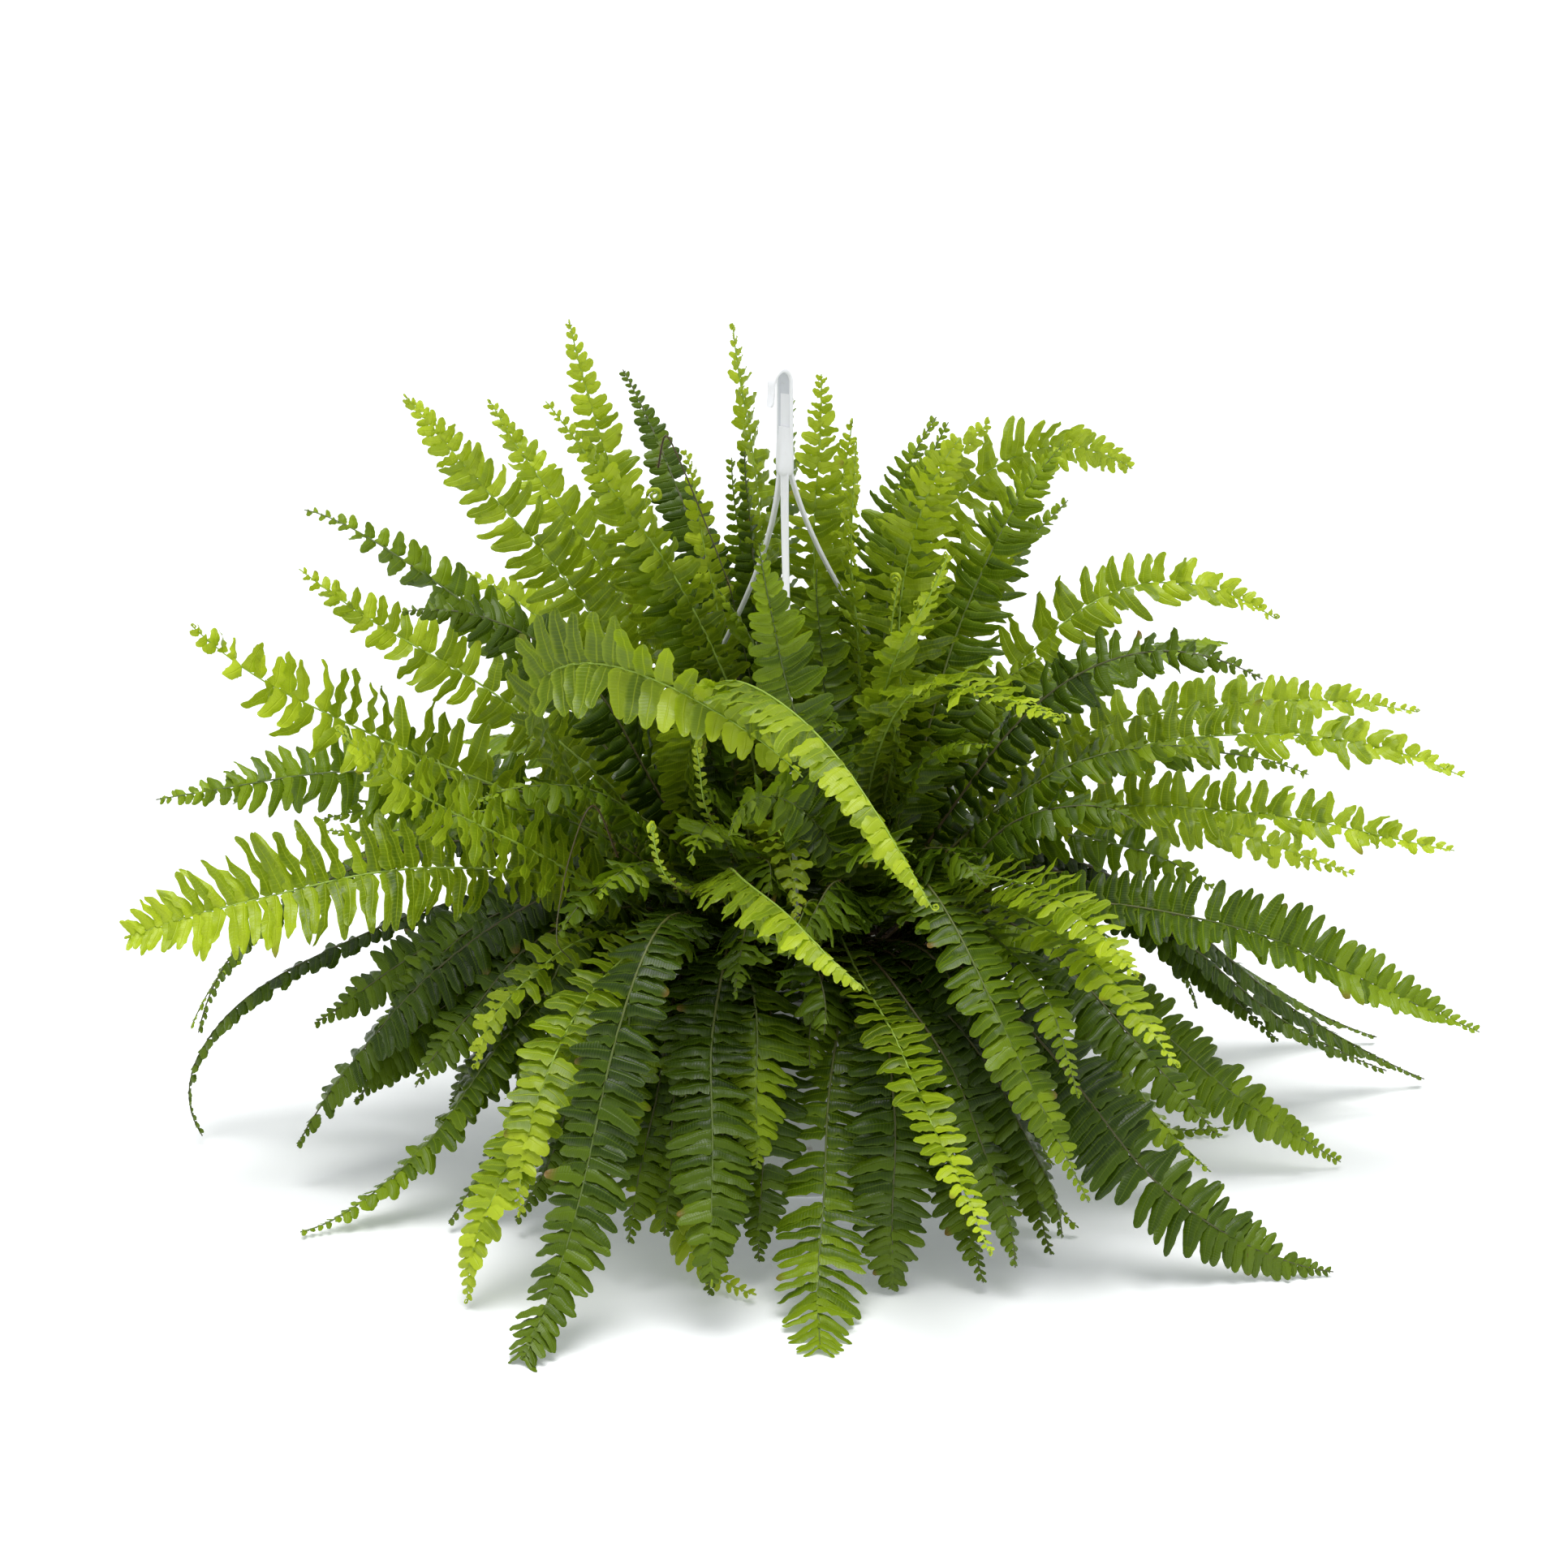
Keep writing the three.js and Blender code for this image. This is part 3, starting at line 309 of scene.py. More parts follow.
# Every frond but those at the back: name, tip x y z, climb at the root, pitch at the tip,
# root bearing off the tip's, tip heading off it, longest leaflet, roll about its own rib, age,
# and for an unusual arch its two reaches.
leadFronds = [
    ("top_1", -155, 70, 560, 80, 76, 12, 0, 20, -70, "young"),
    ("top_2", -45, 110, 550, 82, 70, 0, 0, 18, 30, "young", (0.42, 0.5)),
    ("top_3", 10, 50, 530, 84, 86, 0, 0, 21, 10, "young"),
    ("top_4", -265, 90, 505, 70, 45, 0, 0, 25, -65, "young"),
    ("top_5", -215, 170, 480, 72, 50, -12, 0, 22, -50, "young"),
    ("top_6", -168, -28, 530, 95, 52, 0, 0, 16, -75, "young"),
    ("top_7", -125, 200, 495, 76, 36, 4, 0, 18, -20, "old", (0.42, 0.5)),
    ("top_8", -7, 101, 502, 62, 88, 18, 0, 20, 20, "grown"),
    ("top_9", -81, 66, 474, 80, 73, 7, 0, 16, -20, "young"),
    ("top_10", -129, -2, 468, 81, 54, -13, 0, 22, -40, "grown"),
    ("top_11", 32, 102, 483, 81, 66, 9, 0, 20, -1, "young", (0.45, 0.42)),
    ("top_12", -48, 110, 457, 79, 74, -1, 0, 14, 0, "grown", (0.45, 0.42)),
    ("left_1", -340, 130, 415, 60, 5, 0, 0, 22, -70, "grown", (0.4, 0.15)),
    ("left_2", -335, 40, 400, 58, 35, 0, 0, 23, -65, "young"),
    ("left_3", -394, -68, 393, 40, 43, -12, 0, 32, -45, "young", (0.45, 0.38)),
    ("left_4", -440, 60, 230, 50, -12, -6, 0, 27, -55, "grown"),
    ("left_5", -435, -130, 200, 38, -14, -1, 0, 36, -55, "young"),
    ("left_6", -290, -190, 365, 38, 48, -6, 0, 28, -50, "young"),
    ("left_7", -335, 160, 170, 45, -10, 0, 0, 22, -50, "grown"),
    ("left_8", -326, 50, 218, 47, -15, -17, 0, 24, -60, "grown"),
    ("left_9", -420, 30, 76, 52, -66, 1, 0, 16, 0, "grown", (0.45, 0.42)),
    ("floor_left_1", -410, 0, 8, 42, -40, -12, 140, 15, 0, "old", (0.3, 0.33)),
    ("floor_left_2", -405, -40, 100, 48, -75, -17, 0, 14, 0, "old"),
    ("floor_left_3", -300, -58, 68, 31, -41, -4, 0, 30, -32, "old", (0.36, 0.38)),
    ("floor_left_4", -340, -62, 28, 59, -62, 19, 0, 27, -20, "old"),
    ("floor_left_5", -330, -150, 6, 42, 0, -2, 0, 19, 0, "grown"),
    ("front_1", -211, -258, 6, 34, -92, 6, -15, 23, 2, "young", (0.29, 0.32)),
    ("front_2", -175, -342, 6, 40, -28, 14, -1, 26, 2, "grown", (0.97, 0.44)),
    ("front_3", -60, -300, 38, 52, -75, -17, 0, 26, 0, "grown"),
    ("front_4", -30, -240, 88, 55, -85, -15, 0, 31, 0, "grown"),
    ("front_5", 7, -326, 6, 56, -1, 16, 0, 29, 1, "grown"),
    ("front_6", 53, -240, 6, 32, -91, 8, 48, 27, -3, "old", (0.66, 0.22)),
    ("front_7", 114, -340, 75, 76, -33, -8, 7, 18, 0, "young", (0.22, 0.66)),
    ("front_8", 135, -247, 23, 42, -74, -13, -6, 26, 0, "old", (0.55, 0.21)),
    ("front_9", -32, -249, 8, 60, -3, -49, 70, 20, 4, "young", (0.5, 0.5)),
    ("front_10", 170, -245, 140, 50, -70, 15, 0, 18, 0, "grown"),
    ("front_11", 179, -252, 71, 62, -61, -23, 44, 21, 8, "grown", (0.72, 0.67)),
    ("front_12", 205, -270, 230, 52, -30, 5, 0, 22, 10, "young"),
    ("front_13", 230, -270, 170, 50, -45, 0, 0, 21, 10, "young"),
    ("front_14", -125, -225, 84, 33, -38, -15, 9, 25, 9, "grown", (0.71, 0.57)),
    ("front_15", -90, -225, 35, 50, -75, -12, 0, 26, 0, "old"),
    ("front_16", -180, -249, 62, 56, -87, -19, 0, 20, -4, "young"),
    ("front_17", -111, -229, 32, 49, -71, 2, 0, 26, 0, "old"),
    ("front_18", -51, -230, 12, 58, -85, -37, 0, 26, 4, "old"),
    ("front_19", -27, -226, 17, 62, -87, 8, 0, 26, 7, "old"),
    ("front_20", 92, -204, 49, 49, -63, 4, 0, 24, -5, "old"),
    ("front_21", 163, -210, 26, 54, -84, -20, 0, 24, -2, "old"),
    ("front_22", 267, -110, 27, 24, -33, 19, -1, 26, 1, "grown", (0.66, 0.43)),
    ("front_23", 180, -151, 8, 52, -35, -7, 26, 20, 0, "grown", (0.55, 0.4)),
    ("front_24", -82, -203, 9, 67, -67, 2, 12, 28, 1, "old", (0.44, 0.7)),
    ("front_25", 162, -195, 9, 51, -57, 18, 0, 22, 0, "old", (0.42, 0.38)),
    ("front_26", -61, -255, 8, 38, -75, 6, 0, 24, 0, "old", (0.45, 0.42)),
    ("front_28", 111, -239, 8, 46, -59, 16, 0, 24, -1, "old", (0.45, 0.42)),
    ("low_right_1", 340, -211, 6, 30, -11, -21, 42, 31, 21, "old", (0.5, 0.47)),
    ("low_right_2", 363, -39, 6, 39, -31, 27, 31, 22, 25, "grown", (0.31, 0.61)),
    ("low_right_3", 293, 16, 8, 40, 10, 21, -6, 20, 18, "grown", (0.57, 0.7)),
    ("low_right_4", 414, 185, 6, 44, -20, 0, -22, 18, 10, "old", (0.36, 0.4)),
    ("low_right_5", 439, 104, 8, 44, -25, 0, 0, 17, 10, "old", (0.42, 0.5)),
    ("low_right_6", 450, -60, 110, 30, -22, -9, 0, 26, 42, "grown", (0.38, 0.42)),
    ("low_right_7", 327, 59, 52, 47, -52, 1, 0, 18, 30, "old"),
    ("low_right_8", 276, 96, 64, 44, -79, 0, 0, 16, 20, "old"),
    ("low_right_9", 268, -156, 72, 53, -43, 17, 0, 24, 20, "old", (0.45, 0.42)),
    ("low_right_10", 405, 59, 33, 40, -20, -1, 0, 15, 10, "old", (0.45, 0.42)),
    ("right_1", 380, 90, 165, 44, -27, 0, 0, 21, 55, "young"),
    ("right_2", 430, -40, 230, 52, -12, 0, 0, 26, 42, "young"),
    ("right_3", 444, 36, 253, 61, -28, -3, 0, 26, 42, "young"),
    ("right_4", 425, 140, 265, 60, -15, 0, 0, 22, 42, "young"),
    ("right_5", 350, 110, 230, 52, -25, 9, 0, 18, 45, "grown"),
    ("right_6", 315, 60, 360, 70, -38, 0, 0, 29, 45, "young", (0.48, 0.42)),
    ("right_7", 300, -30, 345, 64, -26, 0, 0, 26, 50, "old", (0.48, 0.42)),
    ("right_8", 281, 37, 176, 57, -36, -1, 0, 24, 50, "grown"),
    ("crest_1", 225, 130, 445, 76, -32, 50, 0, 28, 40, "young", (0.5, 0.42)),
    ("crest_2", 175, 60, 480, 70, 42, -25, 0, 29, 60, "grown"),
    ("crest_3", 103, -21, 505, 72, 55, 10, 0, 30, 81, "young"),
    ("crest_4", 160, -190, 370, 80, -5, -30, 0, 25, 30, "young", (0.7, 0.45)),
    ("crest_5", 76, -62, 406, 75, 72, 15, 0, 21, 45, "young"),
    ("crest_6", 89, -128, 457, 88, 55, -29, 0, 16, 30, "young"),
    ("crest_7", 96, 38, 500, 84, 58, -8, 0, 24, 54, "grown"),
    ("crest_8", 177, 83, 473, 64, 37, -4, 0, 24, 47, "young"),
    ("crest_9", 88, 57, 499, 72, 53, -1, 0, 22, 52, "grown", (0.42, 0.38)),
    ("crest_10", 123, 80, 492, 52, 37, 20, 0, 24, 50, "young", (0.42, 0.38)),
    ("crest_11", 177, 88, 435, 79, 37, 36, 0, 24, 54, "grown", (0.42, 0.38)),
    ("middle_1", 34, -38, 507, 80, 79, 40, 0, 19, 30, "young"),
    ("middle_2", -28, -140, 468, 66, 82, 34, 0, 25, 0, "grown"),
    ("middle_3", -39, 65, 474, 89, 85, 21, 0, 15, 0, "old"),
    ("over_1", 0, -225, 345, 48, -30, -84, 44, 33, 0, "young", (1.25, 0.38)),
    ("over_2", 35, -330, 245, 60, -32, -41, 59, 23, 0, "young", (0.5, 0.3)),
    ("over_3", 77, -329, 297, 73, -54, -44, 36, 25, 0, "young", (0.8, 0.45)),
    ("inner_1", -262, -31, 392, 65, -2, 2, 0, 27, -50, "old"),
    ("inner_2", -231, 191, 352, 51, 17, 4, 0, 22, -50, "young"),
    ("inner_3", -210, -107, 287, 67, -20, 12, 0, 27, -12, "grown"),
    ("inner_4", -132, -164, 243, 67, -40, 9, 0, 27, 0, "grown"),
    ("inner_5", -243, -87, 264, 65, -13, 7, 0, 26, -30, "grown"),
    ("inner_6", -73, -182, 273, 69, -40, -6, 0, 26, 0, "grown"),
    ("inner_7", 60, -186, 262, 68, -45, 0, 0, 26, 3, "grown"),
    ("inner_8", 114, -183, 258, 62, -33, 6, 0, 26, 4, "old"),
    ("inner_9", 215, -108, 270, 56, -24, 8, 0, 26, 21, "old"),
    ("inner_10", 267, -25, 295, 53, -6, -17, 0, 26, 30, "grown"),
    ("inner_11", -8, -201, 214, 64, -51, 21, 0, 26, 2, "grown"),
    ("inner_12", -45, -221, 198, 66, -59, 44, 0, 27, 0, "old"),
    ("inner_13", 13, -211, 167, 56, -81, -75, 0, 27, 0, "old"),
    ("inner_14", -95, -184, 195, 67, -57, -4, 0, 26, 0, "old"),
    ("inner_15", 95, -190, 210, 60, -55, -5, 0, 26, 0, "grown"),
    ("inner_16", -159, -133, 207, 68, -46, -1, 0, 26, 2, "old"),
    ("inner_17", 164, -130, 190, 53, -31, 5, 0, 26, 19, "grown"),
    ("inner_18", -47, -186, 292, 52, -49, 65, 0, 26, 0, "grown"),
    ("inner_19", 20, -131, 342, 75, -19, -38, 0, 25, 10, "old"),
    ("inner_20", -70, -103, 291, 77, -2, 0, 0, 24, -1, "old"),
    ("inner_21", 120, -74, 314, 74, 1, -23, 0, 24, 14, "grown"),
    ("inner_22", 159, 13, 344, 78, 22, 13, 0, 22, 40, "grown"),
    ("inner_23", -118, -80, 360, 85, 19, 44, 0, 24, -17, "old"),
    ("inner_24", -60, -7, 403, 75, 57, 5, 0, 20, 0, "grown"),
    ("inner_25", 9, -37, 423, 72, 68, -6, 0, 20, 0, "grown"),
    ("inner_26", -24, -171, 247, 68, -55, -17, 0, 26, 0, "old", (0.42, 0.38)),
    ("inner_27", -4, -211, 229, 69, -53, 31, -42, 26, -9, "old", (0.42, 0.38)),
    ("skirt_1", -200, -95, 43, 45, -69, -1, 0, 20, 0, "grown", (0.75, 0.4)),
    ("skirt_2", 57, -182, 16, 28, -70, -13, 0, 20, 11, "old", (0.75, 0.4)),
    ("skirt_3", 136, -172, 24, 40, -81, 2, 0, 20, -3, "old", (0.75, 0.4)),
    ("skirt_4", 162, -129, 41, 37, -53, 3, 0, 24, -5, "grown", (0.75, 0.4)),
    ("skirt_5", 191, -83, 35, 47, -65, 3, 0, 22, 0, "old", (0.75, 0.4)),
    ("skirt_6", 4, -189, 136, 52, -70, 5, 0, 24, 0, "old", (0.42, 0.38)),
    ("skirt_8", -75, -203, 115, 58, -97, -12, 0, 24, 0, "old", (0.42, 0.38)),
    ("low_left_1", -330, -20, 100, 42, -30, -6, 0, 26, -40, "old"),
    ("low_left_2", -304, 72, 84, 44, -39, -17, 0, 24, -40, "old"),
    ("low_left_3", -255, -100, 85, 48, -60, 0, 0, 26, -20, "old"),
    ("low_left_4", -239, -83, 41, 40, -63, -17, 0, 26, -20, "old"),
    ("low_left_5", -232, -143, 6, 48, -48, 10, 0, 20, 0, "old"),
    ("low_left_6", -212, -139, 116, 41, -70, -1, 0, 20, 0, "young"),
    ("low_left_7", -187, -164, 67, 63, -68, 2, 0, 26, 4, "old", (0.42, 0.38)),
    ("low_left_8", -238, -49, 52, 42, -59, -13, 0, 28, -25, "old", (0.42, 0.38)),
    ("low_left_9", -281, -34, 105, 53, -58, -20, 0, 26, -42, "old", (0.42, 0.38)),
    ("low_left_10", -187, -153, 12, 50, -50, -12, 0, 24, 0, "old", (0.42, 0.38)),
    ("low_left_11", -304, -30, 46, 38, -44, -18, 0, 24, -30, "old", (0.45, 0.42)),
]
# fronds that share the first one's crown
sharedCrowns = [
    ("top_1", "top_6", "top_10"),
    ("top_2", "top_8", "top_12"),
    ("top_3", "top_11"),
    ("top_5", "inner_2"),
    ("top_7", "top_9", "middle_3"),
    ("left_2", "left_3", "left_9"),
    ("left_4", "left_7", "left_8"),
    ("left_5", "low_left_9"),
    ("left_6", "low_left_7", "low_left_10"),
    ("floor_left_1", "floor_left_2", "low_left_2"),
    ("floor_left_3", "floor_left_4", "low_left_1", "low_left_3", "low_left_8"),
    ("floor_left_5", "inner_5", "skirt_1", "low_left_4", "low_left_5", "low_left_6"),
    ("front_9", "front_1", "inner_3", "inner_16"),
    ("front_14", "front_2", "front_16", "front_17", "inner_4", "inner_14"),
    ("front_4", "front_19", "front_26", "inner_26"),
    ("front_5", "inner_7", "inner_11", "inner_13", "inner_27", "skirt_6"),
    ("front_6", "front_20", "skirt_2"),
    ("front_8", "front_21", "front_23", "front_28", "skirt_3"),
    ("front_10", "front_11", "front_22", "front_25", "low_right_9", "skirt_4"),
    ("front_12", "front_13"),
    ("front_15", "front_18", "front_24", "inner_12", "skirt_8"),
    ("low_right_1", "inner_9", "inner_17", "skirt_5"),
    ("low_right_2", "low_right_3"),
    ("low_right_4", "low_right_7", "low_right_8"),
    ("low_right_5", "low_right_10", "right_8"),
    ("right_4", "right_1"),
    ("right_2", "right_3"),
    ("right_6", "crest_11"),
    ("right_7", "inner_10", "inner_21", "inner_22"),
    ("crest_1", "crest_9", "crest_10"),
    ("crest_2", "crest_8"),
    ("crest_3", "crest_7"),
    ("crest_5", "crest_4", "crest_6"),
    ("middle_1", "inner_24", "inner_25"),
    ("middle_2", "inner_18", "inner_19"),
    ("over_1", "over_3", "inner_20", "low_left_11"),
    ("over_2", "inner_6"),
    ("inner_1", "inner_23"),
]
# the hidden back: crowns spread evenly behind the pot, each with a frond for every tier
backRule = {
    "seed": 41, "crowns": 9, "bearings": (36, 140), "jitter": 0.3, "lean": 4, "stagger": 8,
    "tiers": [
        {"spread": (270, 350), "height": (10, 60), "climb": 50, "pitch": -55, "leaflet": (18, 24),
         "age": "old"},
        {"spread": (340, 410), "height": (190, 280), "climb": 55, "pitch": -18, "leaflet": (18, 25),
         "age": "grown"},
    ],
}
# how a frond stands in the soil and how its rib runs; the rib's widths are radii
frondForm = {
    "soilLevel": 158, "collarHeight": 3, "holeDepth": 8, "rootRing": (20, 70), "floorGap": 0.4,
    "curveSteps": 600, "steps": 48, "usualReach": (0.42, 0.38), "rollEase": 0.3, "wobble": 1.6,
    "ribWidths": (1.25, 0.42), "ribFoot": 1.3, "ribSides": 6, "ribHairs": 110,
    "leafyFrom": 0.11, "lastLeafletShare": 0.992, "shortestLeaflet": 5.0, "missing": 0.02,
    "knobSize": (1.8, 2.9),
}
# spacing along the rib, breadth over spacing, length over the solids', droop, tip curl, edge wave and ripple,
# camber, roll of the leaflet about its own midrib (its edge toward the frond's tip stands up), twist,
# unevenness, share of fronds with a rolled tip, and the taper: where on a sine's arch the lengths start,
# how far they run over it, and how late
leafHabits = {
    "young": {"spacing": 9.0, "breadth": 1.10, "stretch": 1.18, "droop": -8, "curl": 0.17, "wave": 0.080,
              "ripple": 0.030, "camber": 0.18, "roll": 20, "twist": 20, "uneven": 1.15, "knob": 0.6,
              "taper": (0.2, 0.75, 1.45)},
    "grown": {"spacing": 8.0, "breadth": 1.28, "stretch": 1.15, "droop": 10, "curl": 0.16, "wave": 0.038,
              "ripple": 0.016, "camber": 0.34, "roll": 20, "twist": 9, "uneven": 0.7, "knob": 0.15,
              "taper": (0.22, 0.76, 1.5)},
    "old": {"spacing": 7.6, "breadth": 1.38, "stretch": 1.14, "droop": 13, "curl": 0.14, "wave": 0.030,
            "ripple": 0.012, "camber": 0.38, "roll": 20, "twist": 7, "uneven": 0.6, "knob": 0.0,
            "taper": (0.25, 0.73, 1.7)},
}
# fronds inside the fern are more tangled, those that hang over the front neater
groupHabits = {
    "inner": {"uneven": 1.4, "twist": 24, "wave": 0.075, "curl": 0.24},
    "right": {"spacing": 10.0, "breadth": 1.06, "uneven": 1.4, "twist": 24, "wave": 0.07, "curl": 0.24,
              "stretch": 0.98},
    "left": {"spacing": 10.0, "breadth": 1.06, "uneven": 1.4, "twist": 22, "wave": 0.07, "curl": 0.22},
    "crest": {"breadth": 1.0, "uneven": 1.2, "twist": 22, "curl": 0.24},
    "back": {"stretch": 1.45, "breadth": 1.4},
    "front": {"uneven": 0.6, "twist": 8, "wave": 0.034, "ripple": 0.012, "breadth": 1.4},
    "over": {"uneven": 0.5, "twist": 8, "wave": 0.05, "breadth": 1.45, "droop": 48, "stretch": 1.3,
             "roll": 8},
}
# single fronds that differ from their group; tone names the age whose leaf colours they take
ownHabits = {
    "over_1": {"spacing": 14.5, "breadth": 1.0, "roll": 24, "uneven": 0.9, "droop": 18, "stretch": 1.12},
    "inner_11": {"droop": 50, "stretch": 1.4},
    "inner_13": {"droop": 50, "stretch": 1.4},
    "inner_26": {"droop": 45, "stretch": 1.4, "uneven": 0.7},
    "inner_27": {"droop": 55, "stretch": 1.5, "uneven": 0.7},
    "skirt_6": {"droop": 40, "stretch": 1.4},
    "left_3": {"spacing": 12.5, "droop": -14},
    "left_5": {"spacing": 8.0, "breadth": 1.2, "uneven": 0.8, "droop": -16, "taper": (0.2, 0.7, 1.8)},
    "left_1": {"spacing": 13.0},
    "right_2": {"droop": -28},
    "right_3": {"droop": -28},
    "right_4": {"droop": -28},
    "right_6": {"droop": -24},
    "low_right_6": {"droop": -24},
    "top_1": {"knob": 1.0},
    "front_5": {"taper": (0.25, 0.62, 2.6)},
    "front_6": {"taper": (0.25, 0.66, 2.4)},
    # front_3 and front_2 are grown fronds that take the old fronds' darker leaf colours as painted shade on
    # the lower front
    "front_3": {"taper": (0.22, 0.70, 1.9), "droop": 4, "tone": "old"},
    "front_2": {"taper": (0.22, 0.60, 1.6), "tone": "old"},
}
# how leaflets sit along a rib: shift of one side against the other, crowding toward the tip, angles toward
# the tip (at the foot, growing evenly, growing late), and how much each of them varies
rowForm = {
    "fewest": 6, "shift": 0.22, "jitter": 0.16, "crowding": 1.15, "lean": (-4, 14, 26), "leanSpread": 5,
    "droopSpread": 7, "rollSpread": 7, "lengths": (0.88, 1.12), "breadths": (0.92, 1.1),
    "broadest": (0.58, 0.2), "lift": 0.2,
}
# corners of a leaflet, with fewer in the groups that hardly show, and the parts of its outline and surface
leafletForm = {
    "columns": (-1.0, -0.6, 0.0, 0.6, 1.0), "rows": {"fine": 11, "plain": 7},
    "plainGroups": ("inner", "back"), "stalk": (0.12, 0.06), "ears": (0.44, -0.14), "earPlace": 0.09,
    "teeth": 0.055, "end": (3.6, 3), "narrowing": (0.16, 0.20), "bend": (0.03, 0.17), "meander": (0.020, 1.1),
    "curls": (-0.6, 2.6), "ripples": (0.9, 0.8), "waves": (1.5, 1.5), "waveOffset": 1.7, "camberSpread": 0.5,
    "pucker": (0.012, 4.3),
}
# brown scales on the lower rib, and the coil of a tip that is still rolled up
scaleForm = {
    "crowding": 1.6, "upTo": 0.8, "forward": (0.1, 0.9), "length": (1.4, 3.2), "half": 0.16, "off": 0.6,
}
knobForm = {
    "steps": 22, "turns": 1.35, "tightening": 0.72, "sideways": 0.6, "thickness": 0.27, "lumps": (0.28, 4.5),
    "thinning": 0.3,
}
# first seed of the random draws of each kind, and the step from crown to crown
seeds = {"crowns": 1000, "crownStep": 10, "croziers": 500, "runners": 600}


def mix(pair, share):
    return pair[0] + (pair[1] - pair[0]) * share


def pointing(bearing, pitch):
    b, p = math.radians(bearing), math.radians(pitch)
    return np.array([math.cos(p) * math.cos(b), math.cos(p) * math.sin(b), math.sin(p)])


def unit(vectors):
    return vectors / np.maximum(np.linalg.norm(vectors, axis=-1, keepdims=True), 1e-9)


def bezier(start, first, second, end, count):
    t = np.linspace(0, 1, count)[:, None]
    return ((1 - t) ** 3 * start + 3 * (1 - t) ** 2 * t * first + 3 * (1 - t) * t ** 2 * second
            + t ** 3 * end)


def framesOf(points, side):
    # directions, sides and ups along a line, with the side carried on without a twist
    along = unit(np.gradient(points, axis=0))
    sides = np.empty_like(points)
    for i, direction in enumerate(along):
        side = unit(side - direction * side.dot(direction))
        sides[i] = side
    return along, sides, np.cross(along, sides)


def asFrond(row):
    name, x, y, z, climb, pitch, turn, head, leaflet, roll, age = row[:11]
    return {
        "name": name, "tip": np.array([x, y, z], float), "bearing": math.degrees(math.atan2(y, x)),
        "climb": climb, "pitch": pitch, "turn": turn, "head": head, "leaflet": leaflet, "roll": roll,
        "age": age, "reach": row[11] if len(row) > 11 else frondForm["usualReach"],
    }


def backCrowns():
    rule = backRule
    factor, modulus = 16807, 2147483647
    state = rule["seed"]

    def draw():
        nonlocal state
        state = state * factor % modulus
        return state / modulus

    crowns = []
    for i in range(rule["crowns"]):
        place = (i + 0.5 + rule["jitter"] * (draw() - 0.5)) / rule["crowns"]
        bearing = mix(rule["bearings"], place)
        stagger = rule["stagger"] * (i % 2)
        rows = []
        for k, tier in enumerate(rule["tiers"]):
            spread = mix(tier["spread"], draw())
            height = mix(tier["height"], draw())
            leaflet = mix(tier["leaflet"], draw())
            lean = bearing + rule["lean"] * (draw() - 0.5)
            x, y, _ = pointing(lean, 0) * spread
            name = f"back_{i + 1}_{k + 1}"
            climb = tier["climb"] + stagger
            rows.append(asFrond((name, x, y, height, climb, tier["pitch"], bearing - lean, 0, leaflet, 0,
                                 tier["age"])))
        crowns.append(rows)
    return crowns


def leadCrowns():
    byName = {row[0]: asFrond(row) for row in leadFronds}
    groups = {names[0]: names for names in sharedCrowns}
    followers = {name for names in sharedCrowns for name in names[1:]}
    heads = [name for name in byName if name not in followers]
    return [[byName[member] for member in groups.get(name, (name,))] for name in heads]


def rootOf(frond):
    inner, spread = frondForm["rootRing"]
    radius = inner + spread * math.cos(math.radians(frond["climb"]))
    root = pointing(frond["bearing"] + frond["turn"], 0) * radius
    root[2] = frondForm["soilLevel"] + frondForm["collarHeight"]
    return root


def archOf(frond, root, dice):
    # points, directions, side and upper directions at even steps along the rib
    form = frondForm
    chord = np.linalg.norm(frond["tip"] - root)
    rootBearing = frond["bearing"] + frond["turn"]
    tipBearing = frond["bearing"] + frond["head"]
    first = root + pointing(rootBearing, frond["climb"]) * frond["reach"][0] * chord
    second = frond["tip"] - pointing(tipBearing, frond["pitch"]) * frond["reach"][1] * chord
    line = bezier(root, first, second, frond["tip"], form["curveSteps"])
    run = np.concatenate([[0], np.cumsum(np.linalg.norm(np.diff(line, axis=0), axis=1))])
    share = np.linspace(0, 1, form["steps"] + 1)
    points = np.stack([np.interp(share * run[-1], run, line[:, k]) for k in range(3)], 1)
    _, sides, ups = framesOf(points, pointing(rootBearing + 90, 0))
    angle = np.radians(frond["roll"]) * np.minimum(1, share / form["rollEase"])[:, None]
    turned = sides * np.cos(angle) + ups * np.sin(angle)
    ups = ups * np.cos(angle) - sides * np.sin(angle)
    # living ribs waver a little off the plain arch
    phases = dice.uniform(0, fullTurn, 4)
    sway = form["wobble"] * np.minimum(1, share * 3)
    sideways = sway * (np.sin(share * 7 + phases[0]) + 0.5 * np.sin(share * 17 + phases[1]))
    upward = sway * (np.sin(share * 6 + phases[2]) + 0.5 * np.sin(share * 19 + phases[3]))
    points = points + turned * sideways[:, None] + ups * upward[:, None]
    return {"share": share, "points": points, "along": unit(np.gradient(points, axis=0)), "sides": turned,
            "ups": ups, "length": run[-1]}


def sampled(arch, shares, key):
    return np.stack([np.interp(shares, arch["share"], arch[key][:, k]) for k in range(3)], 1)


